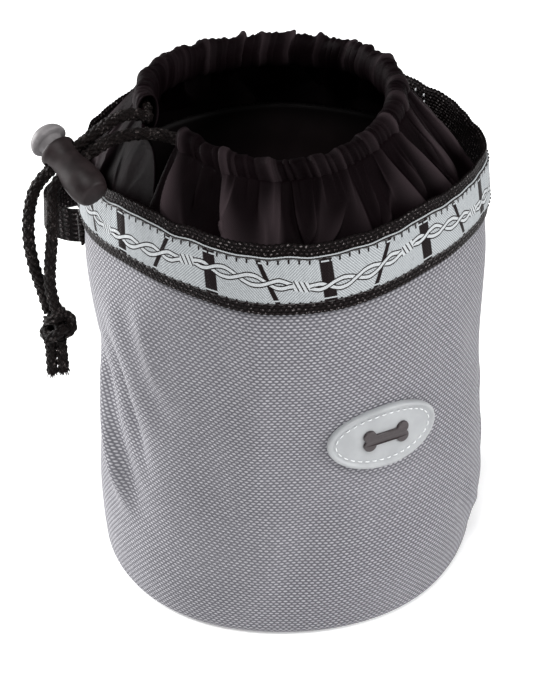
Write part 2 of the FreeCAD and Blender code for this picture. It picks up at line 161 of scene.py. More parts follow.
# The band's free upper edge isn't a circle: it dips and bulges at the front and stands up at the back.
rim_radius = ring_curve([
    (-166, 59.5), (-126, 60.0), (-101, 59.6), (-74, 57.8), (-51, 58.3), (-34, 60.6), (-12, 59.9), (15, 57.4),
    (37, 57.8), (57, 59.6), (70, 60.0), (80, 57.4), (91, 60.4), (102, 57.6), (114, 60.2), (128, 58.8),
    (155, 59.4),
])
rim_height = ring_curve([
    (-166, 141.5), (-126, 138.0), (-101, 137.4), (-74, 137.6), (-51, 134.8), (-34, 132.4), (-12, 132.3),
    (15, 135.4), (37, 136.6), (57, 136.4), (72, 136.6), (84, 137.4), (96, 138.2), (108, 140.2), (130, 141.2),
    (155, 142.8),
])
side_radius = height_curve([
    (0, 62.6), (12, 63.2), (24, 62.9), (40, 61.7), (58, 60.7), (74, 60.3), (90, 60.7), (106, 60.5),
    (122, 58.6),
])
MEAN_RIM = 58.9
# Soft dents and bulges of the shell: turn, height, half width in degrees, half height, and depth.
SHELL_DENTS = [
    (-112, 70, 16, 20, -3.2), (-62, 8, 26, 14, 1.5), (74, 60, 18, 26, 1.2), (76, 28, 18, 14, 1.6),
    (-72, 74, 14, 26, 1.0), (-96, 34, 12, 16, 1.0), (40, 50, 12, 22, 1.3), (66, 40, 9, 26, -1.2),
    (84, 56, 12, 20, 0.9), (14, 26, 14, 14, 0.7), (-30, 52, 20, 26, -0.7), (130, 60, 22, 28, -1.2),
    (176, 40, 24, 22, 0.8), (-150, 46, 16, 26, -1.0), (46, 2, 32, 14, -3.2),
]
# Creases: from turn and height, to turn and height, width and depth. The shell steps out left of the line.
SHELL_CREASES = [
    ((-104, 84), (-74, 26), 5.0, 2.4), ((-84, 108), (-62, 60), 6.0, 1.1), ((-48, 96), (-40, 30), 9.0, -0.9),
    ((-18, 60), (-34, 8), 7.0, 0.8), ((52, 70), (63, 20), 5.5, -1.4), ((30, 34), (48, 12), 4.0, -1.0),
    ((20, 104), (34, 74), 6.0, -0.7),
]
# Ridges and grooves: from turn and height, to turn and height, half width and height.
SHELL_RIDGES = [
    ((-88, 90), (-70, 48), 3.6, -2.8), ((-71, 106), (-62, 76), 4.6, 1.7), ((-58, 98), (-52, 70), 5.0, 0.9),
    ((-94, 66), (-78, 30), 5.0, 1.6), ((-46, 112), (-38, 70), 5.0, -0.8), ((-33, 110), (-34, 55), 3.6, 0.7),
    ((-22, 70), (-30, 20), 7.0, -0.7), ((58, 96), (60, 34), 5.0, -1.0), ((48, 64), (54, 22), 4.0, 0.7),
    ((100, 100), (92, 50), 6.0, -0.8), ((150, 96), (140, 40), 6.0, -0.9), ((-150, 90), (-140, 34), 6.0, -1.0),
    ((-168, 70), (170, 30), 7.0, 0.9),
]


def along_line(turn, z, start, end):
    """Where a point of the shell lies along a line on it, as a share of it, and how far across, in mm."""
    along_x = math.radians(turn_past(end[0], start[0])) * MEAN_RIM
    along_z = end[1] - start[1]
    length = math.hypot(along_x, along_z)
    x = np.radians(turn_past(turn, start[0])) * MEAN_RIM
    dz = z - start[1]
    return (x * along_x + dz * along_z) / length / length, (x * along_z - dz * along_x) / length


def shell_radius(turn, z):
    """The outer radius of the grey shell."""
    turn = np.asarray(turn, float)
    z = np.asarray(z, float)
    radius = side_radius(z) + smooth_step(40, 118, z) * (rim_radius(turn) - MEAN_RIM)
    for dent_turn, dent_z, wide, high, depth in SHELL_DENTS:
        off = turn_past(turn, dent_turn)
        radius = radius + depth * np.exp(-((off / wide) ** 2) - ((z - dent_z) / high) ** 2)
    for start, end, width, depth in SHELL_CREASES:
        share, across = along_line(turn, z, start, end)
        fade = smooth_step(0, 0.3, share) * (1 - smooth_step(0.65, 1, share))
        radius = radius + depth * fade * (across / width) * np.exp(-((across / width) ** 2)) * 2
    for start, end, width, height in SHELL_RIDGES:
        share, across = along_line(turn, z, start, end)
        fade = smooth_step(-0.1, 0.35, share) * (1 - smooth_step(0.6, 1.15, share))
        radius = radius + height * fade * np.exp(-((np.abs(across) / width) ** 1.6))
    return radius


def at(turn, radius, z):
    """Points at these turns, radii and heights, in millimetres."""
    turn = np.radians(np.asarray(turn, float))
    x = radius * np.sin(turn)
    y = -radius * np.cos(turn)
    return np.stack(np.broadcast_arrays(x, y, np.asarray(z, float)), axis=-1)


def wobble(turn, seed, waves, size):
    """A small smooth unevenness round the pouch, made of a few waves with set phases."""
    random = np.random.default_rng(seed)
    total = np.zeros_like(np.asarray(turn, float))
    for wave in waves:
        total = total + np.sin(np.radians(turn) * wave + random.uniform(0, 2 * math.pi))
    return size * total / len(waves)


# ---- meshes


def place_object(name, data):
    piece = bpy.data.objects.new(name, data)
    bpy.context.collection.objects.link(piece)
    return piece


def add_mesh(name, points, cells, uvs=None, crest=None, smooth=True):
    """An object with these points in millimetres. Each array in cells holds faces of equally many corners.

    uvs are in millimetres, one per point, and run on round the pouch. crest is a number per point.
    """
    mesh = bpy.data.meshes.new(name)
    places = (np.asarray(points).reshape(-1, 3) * MM).tolist()
    mesh.from_pydata(places, [], [face for part in cells for face in part.tolist()])
    if uvs is not None:
        layer = mesh.uv_layers.new(name="fabric")
        layer.data.foreach_set("uv", np.concatenate([corner_uvs(uvs, part) for part in cells]))
    if crest is not None:
        layer = mesh.attributes.new("crest", "FLOAT", "POINT")
        layer.data.foreach_set("value", np.asarray(crest, np.float32))
    mesh.polygons.foreach_set("use_smooth", [smooth] * len(mesh.polygons))
    mesh.update()
    return place_object(name, mesh)


def corner_uvs(uvs, faces):
    """The UVs at the faces' corners. A face across the pattern's seam has its low side one wrap on."""
    corners = np.asarray(uvs, np.float32).reshape(-1, 2)[faces]
    low_side = np.ptp(corners[..., 0], axis=1, keepdims=True) > UV_WRAP / 2
    corners[..., 0] += UV_WRAP * (low_side & (corners[..., 0] < UV_WRAP / 2))
    return corners.reshape(-1)


def shape_as_mesh(piece):
    """The object's shape after its modifiers or curve settings, as a plain mesh."""
    bpy.context.view_layer.update()
    return bpy.data.meshes.new_from_object(piece.evaluated_get(bpy.context.evaluated_depsgraph_get()))


def add_curve(name, dimensions, kind, points):
    """A curve object through these points, and its data and spline for further settings."""
    curve = bpy.data.curves.new(name, "CURVE")
    curve.dimensions = dimensions
    spline = curve.splines.new(kind)
    spline.points.add(len(points) - 1)
    for point, place in zip(spline.points, points):
        point.co = (*place, 1)
    return place_object(name, curve), curve, spline


def quads(rows, cols, wrap_rows=False, wrap_cols=True, first=0, flip=False):
    """The faces of a grid of points, which may close on itself either way."""
    row = np.arange(rows if wrap_rows else rows - 1)
    col = np.arange(cols if wrap_cols else cols - 1)
    a, b = np.meshgrid(row, col, indexing="ij")
    a2 = (a + 1) % rows
    b2 = (b + 1) % cols
    cells = [a * cols + b, a * cols + b2, a2 * cols + b2, a2 * cols + b]
    cells = np.stack(cells, axis=-1).reshape(-1, 4) + first
    return cells[:, ::-1] if flip else cells


def fan_ends(rows, cols):
    """Triangles over a tube's two ends. The points in the middle of its ends come after its own."""
    col = np.arange(cols)
    nxt = (col + 1) % cols
    middle = rows * cols
    last = middle - cols
    start = np.stack([np.full(cols, middle), nxt, col], axis=-1)
    return [start, np.stack([np.full(cols, middle + 1), last + col, last + nxt], axis=-1)]


def rod_cells(rows, cols, first=0):
    """The faces of a rod, with one flat face on each end."""
    ring = np.arange(first, first + cols)[None]
    return [quads(rows, cols, first=first), ring[:, ::-1], ring + (rows - 1) * cols]


def sheet_normals(points, wrap_cols):
    if wrap_cols:
        along = np.roll(points, -1, 1) - np.roll(points, 1, 1)
    else:
        along = np.gradient(points, axis=1)
    normal = np.cross(along, np.gradient(points, axis=0))
    return normal / np.maximum(np.linalg.norm(normal, axis=-1, keepdims=True), 1e-9)


def thick_sheet(name, points, thickness, uv, wrap_cols=True, crest=None):
    """A closed piece of cloth: its face is a grid of points, and its back lies the thickness behind it."""
    rows, cols = points.shape[:2]
    thickness = np.broadcast_to(np.asarray(thickness, float), (rows, cols))[..., None]
    back = points - sheet_normals(points, wrap_cols) * thickness
    count = rows * cols
    grid = np.arange(count).reshape(rows, cols)
    faces = [quads(rows, cols, False, wrap_cols), quads(rows, cols, False, wrap_cols, count, True)]
    edges = [(grid[0], True), (grid[-1], False)]
    if not wrap_cols:
        edges += [(grid[:, 0], False), (grid[:, -1], True)]
    for line, flip in edges:
        nxt = np.roll(line, -1)
        strip = np.stack([line, nxt, nxt + count, line + count], axis=-1)
        strip = strip if wrap_cols else strip[:-1]
        faces.append(strip[:, ::-1] if flip else strip)
    both = np.concatenate([points.reshape(-1, 3), back.reshape(-1, 3)])
    if crest is not None:
        crest = np.tile(crest.reshape(-1), 2)
    return add_mesh(name, both, faces, np.tile(uv.reshape(-1, 2), (2, 1)), crest)


def ring_turns(count):
    return np.arange(count) * 360 / count


def loop_angles(count):
    return np.arange(count) / count * 2 * math.pi


def grid_uv(u, v):
    """UVs for a grid whose rows lie at these v and whose columns lie at these u."""
    return np.stack(np.meshgrid(u, v), axis=-1)


def wrap_uv(turns, heights):
    """UVs in millimetres for a grid of heights by turns round the pouch."""
    return grid_uv(turns * UV_WRAP / 360, heights)


def distances(path):
    """How far along a path each of its points lies."""
    return np.append(0, np.cumsum(np.linalg.norm(np.diff(path, axis=0), axis=1)))


def read_at(s, along, values):
    """What values, given at the distances along, are at the distances s."""
    return np.stack([np.interp(s, along, values[:, k]) for k in range(3)], axis=-1)


def cross_directions(path):
    """Two directions across a path at each of its points, without twist."""
    ahead = np.gradient(path, axis=0)
    ahead /= np.linalg.norm(ahead, axis=1, keepdims=True)
    side = np.cross(ahead[0], (0.3, 0.2, 0.93))
    sides = []
    for direction in ahead:
        side = side - direction * np.dot(side, direction)
        side = side / np.linalg.norm(side)
        sides.append(side)
    return np.array(sides), np.cross(ahead, sides)


def rings_round(centre, across, up, radius, cols):
    """Rings of points round a line, from two directions across it and a radius per point or per ring."""
    a = loop_angles(cols)[None, :, None]
    spokes = across[:, None] * np.cos(a) + up[:, None] * np.sin(a)
    return centre[:, None] + spokes * radius[..., None]


def braided_tube(name, path, diameter=CORD, relief=BRAID_RELIEF):
    """A round braid along a path: two sets of strands cross over and under each other in small diamonds."""
    along = distances(path)
    count = max(int(along[-1] / 0.24), 8)
    s = np.linspace(0, along[-1], count)
    centre = read_at(s, along, path)
    across, up = cross_directions(centre)
    cols = BRAID_STRANDS * 9
    a, run = np.meshgrid(loop_angles(cols), s)
    one = BRAID_STRANDS / 2 * a + 2 * math.pi * run / BRAID_LAY
    two = BRAID_STRANDS / 2 * a - 2 * math.pi * run / BRAID_LAY
    weave = np.sin(one) * np.sin(two)
    over = 0.5 + 0.5 * np.sign(weave)
    bump = np.abs(weave) ** 0.6 * (0.82 + 0.18 * over)
    points = rings_round(centre, across, up, diameter / 2 - relief + relief * bump, cols).reshape(-1, 3)
    points = np.vstack([points, points[:cols].mean(axis=0), points[-cols:].mean(axis=0)])
    uvs = np.stack([a * diameter / 2, run], axis=-1).reshape(-1, 2)
    uvs = np.vstack([uvs, uvs[:1], uvs[-1:]])
    cells = [quads(count, cols)] + fan_ends(count, cols)
    # The strands' bump goes on as crest, which limits the cord's painted glints to the raised strands.
    return add_mesh(name, points, cells, uvs, np.append(bump, [0.5, 0.5]))


def join_pieces(name, pieces):
    """One object out of several, by Blender's own join, so that UVs and attributes stay."""
    bpy.ops.object.select_all(action="DESELECT")
    for piece in pieces:
        piece.select_set(True)
    bpy.context.view_layer.objects.active = pieces[0]
    bpy.ops.object.join()
    pieces[0].name = name
    pieces[0].data.name = name
    return pieces[0]


def stitch_row(name, path, length, gap, radius, sink, outward):
    """Separate stitches of thread along a path of points on a surface. outward is the way off the surface."""
    along = distances(path)
    count = int(along[-1] / (length + gap))
    spread = along[-1] / count
    hump = np.sin(np.linspace(0, math.pi, STITCH_RINGS)) ** 0.5
    points = []
    cells = []
    for index in range(count):
        s = index * spread + np.linspace(0, length, STITCH_RINGS)
        centre = read_at(s, along, path)
        off = read_at(s, along, outward)
        off /= np.linalg.norm(off, axis=1, keepdims=True)
        ahead = centre[-1] - centre[0]
        side = np.cross(ahead / np.linalg.norm(ahead), off)
        centre += off * (hump * radius - sink)[:, None]
        fat = radius * (0.35 + 0.65 * hump)[:, None]
        cells += rod_cells(STITCH_RINGS, STITCH_CORNERS, len(points))
        points += rings_round(centre, side, off, fat, STITCH_CORNERS).reshape(-1, 3).tolist()
    return add_mesh(name, points, cells)


# ---- shader arithmetic


def feed(tree, socket, value):
    """Sets a node's input to a number or a colour, or links a Value or another node's output to it."""
    value = value.socket if isinstance(value, Value) else value
    if isinstance(value, bpy.types.NodeSocket):
        tree.links.new(value, socket)
    else:
        socket.default_value = (*value, 1) if isinstance(value, tuple) else value


class Value:
    """A number in a material that plain arithmetic builds Math nodes on."""

    def __init__(self, tree, socket):
        self.tree = tree
        self.socket = socket

    def apply(self, operation, *others):
        node = self.tree.nodes.new("ShaderNodeMath")
        node.operation = operation
        for index, item in enumerate((self,) + others):
            feed(self.tree, node.inputs[index], item)
        return Value(self.tree, node.outputs[0])

    def __rsub__(self, other):
        return (self * -1) + other

    def rise(self, low, high):
        """0 below low, 1 above high, and smooth between. With low above high it falls instead."""
        node = self.tree.nodes.new("ShaderNodeMapRange")
        node.interpolation_type = "SMOOTHSTEP"
        feed(self.tree, node.inputs["Value"], self)
        starts = {"From Min": min(low, high), "To Min": low > high}
        ends = {"From Max": max(low, high), "To Max": low < high}
        for name, value in (starts | ends).items():
            node.inputs[name].default_value = float(value)
        return Value(self.tree, node.outputs["Result"])

    def off_middle(self, period):
        """How far it is from the middle of its own cell of this length, as a share of the cell."""
        return ((self / period).fract() - 0.5).size()

    def wave(self, period):
        return (self * (2 * math.pi / period)).sin()


def math_method(operation):
    return lambda self, *others: self.apply(operation, *others)


MATH_METHODS = {
    "__add__": "ADD", "__radd__": "ADD", "__sub__": "SUBTRACT", "__mul__": "MULTIPLY", "__rmul__": "MULTIPLY",
    "__truediv__": "DIVIDE", "fract": "FRACT", "floor": "FLOOR", "sin": "SINE", "size": "ABSOLUTE",
    "most": "MAXIMUM", "least": "MINIMUM", "above": "GREATER_THAN",
}
for method, math_operation in MATH_METHODS.items():
    setattr(Value, method, math_method(math_operation))


class Cloth:
    """A material under construction: its node tree, its shader's inputs, and the fabric's UV in mm."""

    def __init__(self, name):
        self.material = bpy.data.materials.new(name)
        self.material.use_nodes = True
        self.tree = self.material.node_tree
        self.inputs = self.tree.nodes["Principled BSDF"].inputs
        uv = self.tree.nodes.new("ShaderNodeUVMap")
        uv.uv_map = "fabric"
        split = self.tree.nodes.new("ShaderNodeSeparateXYZ")
        self.tree.links.new(uv.outputs["UV"], split.inputs[0])
        self.u = Value(self.tree, split.outputs["X"])
        self.v = Value(self.tree, split.outputs["Y"])

    def noise(self, scale, detail=2.0, rough=0.5):
        """Noise over the object's own place, with features of about 1 / scale metres."""
        place = self.tree.nodes.new("ShaderNodeTexCoord")
        node = self.tree.nodes.new("ShaderNodeTexNoise")
        node.inputs["Scale"].default_value = scale
        node.inputs["Detail"].default_value = detail
        node.inputs["Roughness"].default_value = rough
        self.tree.links.new(place.outputs["Object"], node.inputs["Vector"])
        return Value(self.tree, node.outputs["Fac"])

    def crest(self):
        """1 where a braid's strand or a fold stands out, and 0 in the grooves and valleys. By it the nylon
        gets painted light on its crests and painted shade in its valleys, and the cord its painted glints.
        """
        node = self.tree.nodes.new("ShaderNodeAttribute")
        node.attribute_name = "crest"
        return Value(self.tree, node.outputs["Fac"])

    def mix(self, factor, first, second):
        """The second colour over the first, by a factor from 0 to 1. A colour is a tuple or a socket."""
        node = self.tree.nodes.new("ShaderNodeMix")
        node.data_type = "RGBA"
        feed(self.tree, node.inputs["Factor"], factor)
        colour_a, colour_b = [s for s in node.inputs if s.type == "RGBA"]
        feed(self.tree, colour_a, first)
        feed(self.tree, colour_b, second)
        return [s for s in node.outputs if s.type == "RGBA"][0]

    def relief(self, height, millimetres, strength):
        node = self.tree.nodes.new("ShaderNodeBump")
        node.inputs["Distance"].default_value = millimetres * MM
        node.inputs["Strength"].default_value = strength
        feed(self.tree, node.inputs["Height"], height)
        feed(self.tree, self.inputs["Normal"], node.outputs["Normal"])

    def finish(self, colour, rough, gloss=0.5, sheen=0.0, sheen_rough=0.5, metallic=0.0):
        """Sets the surface's own inputs, and gives the material."""
        values = {
            "Base Color": colour, "Roughness": rough, "Specular IOR Level": gloss, "Sheen Weight": sheen,
            "Sheen Roughness": sheen_rough, "Metallic": metallic,
        }
        for name, value in values.items():
            feed(self.tree, self.inputs[name], value)
        return self.material


def srgb(*display):
    """A colour given as 0 to 255 display values, as linear light."""
    shares = [value / 255 for value in display]
    return tuple(s / 12.92 if s <= 0.04045 else ((s + 0.055) / 1.055) ** 2.4 for s in shares)


def dots(cloth, pitch_u, pitch_v, wide=0.42, high=0.40):
    """Staggered oval bumps, as the raised threads of a plain weave: 1 on a bump and 0 between."""
    row = (cloth.v / pitch_v).floor()
    shift = (row * 0.5).fract()
    x = ((cloth.u / pitch_u + shift).fract() - 0.5) / wide
    y = ((cloth.v / pitch_v).fract() - 0.5) / high
    return (x * x + y * y).rise(1.1, 0.1)


# ---- materials


def oxford_material():
    cloth = Cloth("oxford_weave")
    bump = dots(cloth, UV_WRAP / 220, 0.95)
    fine = cloth.noise(900, 2)
    ground = cloth.mix(cloth.noise(28, 3).rise(0.35, 0.7), srgb(84, 83, 89), srgb(93, 92, 98))
    thread = cloth.mix(fine.rise(0.3, 0.7), srgb(142, 141, 146), srgb(166, 165, 170))
    cloth.relief(bump + fine * 0.25, 0.22, 0.9)
    return cloth.finish(cloth.mix(bump, ground, thread), 0.66, gloss=0.3, sheen=0.06, sheen_rough=0.35)


def nylon_material():
    """Thin black nylon of a fine plain weave, with painted light on the crests of its folds and painted shade
    in their valleys.
    """
    cloth = Cloth("collar_nylon")
    weave = cloth.u.wave(0.42) * cloth.v.wave(0.42)
    broad = cloth.noise(55, 3)
    # Painted shade: the colour in the valleys of the folds, darker than the nylon's own black.
    valley_shade = cloth.mix(broad.rise(0.3, 0.75), srgb(4, 1, 2), srgb(12, 6, 8))
    cloth.relief(weave * 0.35 + cloth.noise(420, 4, 0.6), 0.10, 0.7)
    rough = broad.rise(0.2, 0.8) * 0.10 + 0.46
    # Painted light: the crests of the folds are painted a paler purple-brown.
    return cloth.finish(cloth.mix(cloth.crest(), valley_shade, srgb(60, 51, 54)), rough, gloss=0.02)


def webbing_material():
    """Coarse black webbing: staggered ribs, with pale painted highlights as glints on the raised yarns."""
    cloth = Cloth("black_webbing")
    bump = dots(cloth, UV_WRAP / 240, 1.05, 0.46, 0.44)
    fine = cloth.noise(1500, 3, 0.7)
    # Painted highlights: pale glints painted into the colour on the raised yarns.
    painted_glint = (bump * fine.rise(0.52, 0.66)).rise(0.25, 0.75)
    base = cloth.mix(bump, srgb(6, 3, 3), srgb(26, 20, 21))
    cloth.relief(bump + fine * 0.5, 0.55, 1.0)
    return cloth.finish(cloth.mix(painted_glint, base, srgb(112, 106, 106)), 0.5, gloss=0.05)


def ribbon_bars(u, v, period, middle):
    """The black bars across the ribbon: wide ones, and thin ones between them that lean left and right."""
    wide_place = u + (v - middle) * 0.10
    wide = (wide_place.off_middle(period) * period).rise(1.9, 1.6)
    lean = ((u / period + 0.5).floor() * 0.5).fract() * 4 - 1
    thin_place = u + (v - middle) * lean * 0.42 + period / 2
    return wide.most((thin_place.off_middle(period) * period).rise(0.8, 0.55))


def ribbon_ticks(u, v):
    """The short marks of the stitches along both edges of the ribbon."""
    pitch = UV_WRAP / 138
    tick = (u.off_middle(pitch) * pitch).rise(0.34, 0.2)
    high = tick * v.rise(RIBBON_HEIGHT - 2.1, RIBBON_HEIGHT - 1.8)
    return (high + tick * v.rise(1.15, 0.95)).least(1.0)


def ribbon_material():
    """A woven silver ribbon: black bars cross it, and a plain two-strand cord pattern waves along it."""
    cloth = Cloth("jacquard_ribbon")
    u = cloth.u
    v = cloth.v
    period = UV_WRAP / 12
    middle = RIBBON_HEIGHT / 2
    silver = srgb(166, 170, 172)
    shade = srgb(88, 90, 94)
    pale = srgb(172, 175, 177)
    ink = srgb(20, 14, 15)
    lean_way = ((u / period * 2).floor() * 0.5).fract() * 4 - 1
    hatch = (u + v * lean_way * 0.9).off_middle(0.78).rise(0.40, 0.14)
    colour = cloth.mix(hatch * 0.55, silver, shade)
    colour = cloth.mix(cloth.noise(800, 2).rise(0.55, 0.8) * 0.3, colour, shade)
    bars = ribbon_bars(u, v, period, middle)
    float_thread = ((v - middle).size() - (middle - 1.5)).size().rise(0.28, 0.12)
    colour = cloth.mix(bars, colour, cloth.mix(float_thread, ink, silver))
    # Two strands wind slowly round each other, drawn tight together by a plain wrap in every period.
    slow = u.wave(2 * period) * 1.5 + (middle - 0.2)
    wrap_x = ((u + 7.0) / period).fract() * period - period / 2
    swing = u.wave(period / 2) * (wrap_x.size().rise(1.0, 7.0) * 1.05 + 0.25)
    front = (u + period / 8).wave(period / 2).above(0)
    off_a = (v - (slow + swing)).size()
    off_b = (v - (slow - swing)).size()
    edge_a = off_a.rise(0.86, 0.76)
    edge_b = off_b.rise(0.86, 0.76)
    colour = cloth.mix(edge_a.most(edge_b), colour, ink)
    fill_a = off_a.rise(0.50, 0.42) * (1 - edge_b * (1 - front))
    fill_b = off_b.rise(0.50, 0.42) * (1 - edge_a * front)
    strands = fill_a.most(fill_b)
    colour = cloth.mix(strands, colour, pale)
    near_wrap = wrap_x.size().rise(2.3, 2.0) * (v - slow).size().rise(1.45, 1.3)
    turns = (wrap_x + (v - slow) * 0.5).off_middle(1.3).rise(0.40, 0.30)
    colour = cloth.mix(near_wrap, colour, cloth.mix(turns, ink, pale))
    colour = cloth.mix(ribbon_ticks(u, v), colour, ink)
    colour = cloth.mix((v - middle).size().rise(middle - 0.75, middle - 0.6), colour, ink)
    colour = cloth.mix(v.rise(RIBBON_HEIGHT - 0.36, RIBBON_HEIGHT - 0.26), colour, silver)
    cloth.relief(hatch * -0.6 + strands * 0.9 - bars * 0.6, 0.12, 0.8)
    return cloth.finish(colour, 0.5, gloss=0.05)


def cord_material():
    cloth = Cloth("braided_cord")
    fibre = (cloth.u * 9 + cloth.v * 5).wave(2.1) * 0.5 + 0.5
    fine = cloth.noise(2200, 3, 0.7)
    base = cloth.mix(fine.rise(0.35, 0.7), srgb(4, 2, 2), srgb(22, 15, 14))
    # Painted highlights: pale glints painted into the colour on the raised strands of the braid.
    painted_glint = (fibre * cloth.noise(420, 2).rise(0.5, 0.62)) * (fine.rise(0.5, 0.66))
    cloth.relief(fine + fibre * 0.4, 0.20, 1.0)
    return cloth.finish(cloth.mix(painted_glint * cloth.crest(), base, srgb(150, 140, 138)), 0.46, gloss=0.09)


def mottled_material(name, dark, light, mottle, grain, depth, rough, edges=(0.3, 0.7), **surface):
    """A colour that varies in patches, over a fine grain in relief. mottle and grain are noise settings."""
    cloth = Cloth(name)
    cloth.relief(cloth.noise(*grain), depth, 0.6)
    patches = cloth.noise(*mottle).rise(*edges)
    return cloth.finish(cloth.mix(patches, srgb(*dark), srgb(*light)), rough, **surface)


def thread_material(name, dark, light):
    twist = (2600, 2)
    edges = (0.35, 0.65)
    return mottled_material(name, dark, light, twist, twist, 0.05, 0.5, edges, sheen=0.2, sheen_rough=0.4)


def plastic_material(name, dark, light):
    """Moulded nylon with the faint mottle of its skin."""
    cloth = Cloth(name)
    broad = cloth.noise(260, 3)
    cloth.relief(cloth.noise(1600, 3) + broad * 0.6, 0.03, 0.7)
    colour = cloth.mix(broad.rise(0.3, 0.7), srgb(*dark), srgb(*light))
    return cloth.finish(colour, broad.rise(0.3, 0.7) * 0.10 + 0.48, gloss=0.2)


def steel_material():
    cloth = Cloth("spring_steel")
    return cloth.finish((0.5, 0.5, 0.5), cloth.noise(3000, 2) * 0.2 + 0.22, metallic=1.0)


OXFORD = oxford_material()
LINING = mottled_material(
    "black_lining", (16, 10, 11), (27, 20, 21), (40, 3), (700, 3), 0.06, 0.55, (0.3, 0.75),
    gloss=0.2, sheen=0.02, sheen_rough=0.3,
)
NYLON = nylon_material()
WEBBING = webbing_material()
RIBBON = ribbon_material()
BLACK_THREAD = thread_material("black_thread", (16, 13, 13), (38, 33, 33))
LIGHT_THREAD = thread_material("light_thread", (196, 198, 200), (226, 228, 230))
CORD_BRAID = cord_material()
BADGE = mottled_material("badge_pvc", (142, 144, 146), (152, 154, 156), (160, 2), (1400, 3), 0.025, 0.42)
BONE = mottled_material("bone_pvc", (38, 30, 32), (46, 38, 40), (1800, 3), (1800, 3), 0.02, 0.36)
PLASTIC = plastic_material("lock_plastic", (20, 13, 14), (31, 23, 24))
# The push button is the lock's own charcoal plastic painted lighter: painted light on its dome, which faces
# the lamps.
DOME = plastic_material("button_plastic_painted_light", (100, 97, 98), (120, 117, 118))
STEEL = steel_material()


def finish_piece(piece, material, body, slot, *nodes):
    """Gives a piece its material and the body it rides on, and hides the CAD nodes that it replaces. slot is
    not used.
    """
    piece.data.materials.clear()
    piece.data.materials.append(material)
    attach(piece, body)
    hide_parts(*nodes)
    return piece


# ---- camera, floor and lights


def make_camera():
    heading = math.radians(CAMERA_HEADING)
    pitch = math.radians(CAMERA_PITCH)
    roll = math.radians(CAMERA_ROLL)
    level_ahead = Vector((math.sin(heading), math.cos(heading), 0))
    ahead = level_ahead * math.cos(pitch) - Vector((0, 0, math.sin(pitch)))
    level = Vector((math.cos(heading), -math.sin(heading), 0))
    upright = level.cross(ahead)
    right = level * math.cos(roll) + upright * math.sin(roll)
    up = upright * math.cos(roll) - level * math.sin(roll)
    data = bpy.data.cameras.new("camera")
    data.lens = CAMERA_LENS
    data.sensor_width = 36
    data.clip_start = 0.01
    data.clip_end = 20
    camera = place_object("camera", data)
    turn = Matrix((right, up, -ahead)).transposed()
    camera.matrix_world = Matrix.Translation(CAMERA_PLACE) @ turn.to_4x4()
    bpy.context.scene.camera = camera


def make_floor():
    h = FLOOR_HALF
    mesh = bpy.data.meshes.new("floor")
    mesh.from_pydata([(-h, -h, 0), (h, -h, 0), (h, h, 0), (-h, h, 0)], [], [(0, 1, 2, 3)])
    pale = bpy.data.materials.new("pale_floor")
    pale.use_nodes = True
    inputs = pale.node_tree.nodes["Principled BSDF"].inputs
    inputs["Base Color"].default_value = (0.97, 0.97, 0.97, 1)
    inputs["Roughness"].default_value = 0.9
    inputs["Emission Color"].default_value = (1, 1, 1, 1)
    inputs["Emission Strength"].default_value = FLOOR_GLOW
    mesh.materials.append(pale)
    place_object("floor", mesh)


def make_lights():
    world = bpy.data.worlds.new("studio")
    bpy.context.scene.world = world
    world.use_nodes = True
    background = world.node_tree.nodes["Background"].inputs
    background["Color"].default_value = (1, 1, 1, 1)
    background["Strength"].default_value = WORLD_GLOW
    for name, (place, size, power) in LIGHTS.items():
        data = bpy.data.lights.new(name, "AREA")
        data.shape = "DISK"
        data.size = size
        data.energy = power
        light = place_object(name, data)
        light.location = place
        light.rotation_mode = "QUATERNION"
        light.rotation_quaternion = (Vector(LIGHT_AIM) - Vector(place)).to_track_quat("-Z", "Y")
    bpy.context.scene.view_settings.view_transform = "Standard"


make_camera()
make_floor()
make_lights()


# ---- shell, base and lining


def make_shell():
    turns = ring_turns(600)
    top = rim_height(turns) - BAND_HEIGHT + 3.0
    rows = 150
    z = FOOT_CORNER + np.linspace(0, 1, rows)[:, None] * (top - FOOT_CORNER)
    side = at(turns, shell_radius(turns, z), z)
    low = shell_radius(turns, FOOT_CORNER)
    foot = []
    for angle in np.radians(np.linspace(-90, 0, 9)[:-1]):
        drop = math.sin(angle) * (FOOT_CORNER - 0.2)
        inset = (1 - math.cos(angle)) * FOOT_CORNER * 0.9
        foot.append(at(turns, low - inset, FOOT_CORNER + drop))
    seam = at(turns, low - 6.0, 0.35)
    points = np.concatenate([[seam], foot, side])
    heights = [[-6], np.linspace(-3.5, FOOT_CORNER - 0.7, 8), np.linspace(FOOT_CORNER, 121, rows)]
    uv = wrap_uv(turns, np.concatenate(heights))
    shell = thick_sheet("grey_shell", points, SHELL_THICKNESS, uv)
    finish_piece(shell, OXFORD, "pouch", "shell_oxford", "body_wall")


def make_base():
    turns = ring_turns(240)
    radii = np.array([57.4, 56.0, 54, 48, 36, 24, 12, 0.3])
    heights = np.array([0.35, 0.4, 0.45, 0.5, 0.6, 0.7, 0.8, 0.9])
    points = at(turns, radii[:, None], heights[:, None])
    base = thick_sheet("base_cloth", points, -BASE_THICKNESS, points[..., :2])
    finish_piece(base, OXFORD, "pouch", "shell_oxford", "base_panel")
    seam = shell_radius(turns, FOOT_CORNER) - 4.4
    angles = loop_angles(10)[:, None]
    ridge = at(turns, seam + 1.5 * np.cos(angles), 0.55 + 0.42 * np.sin(angles))
    uv = wrap_uv(turns, np.arange(10) * 0.5)
    tape = add_mesh("seam_tape", ridge, [quads(10, 240, True)], uv)
    finish_piece(tape, WEBBING, "pouch", "seam_tape", "base_seam_tape")


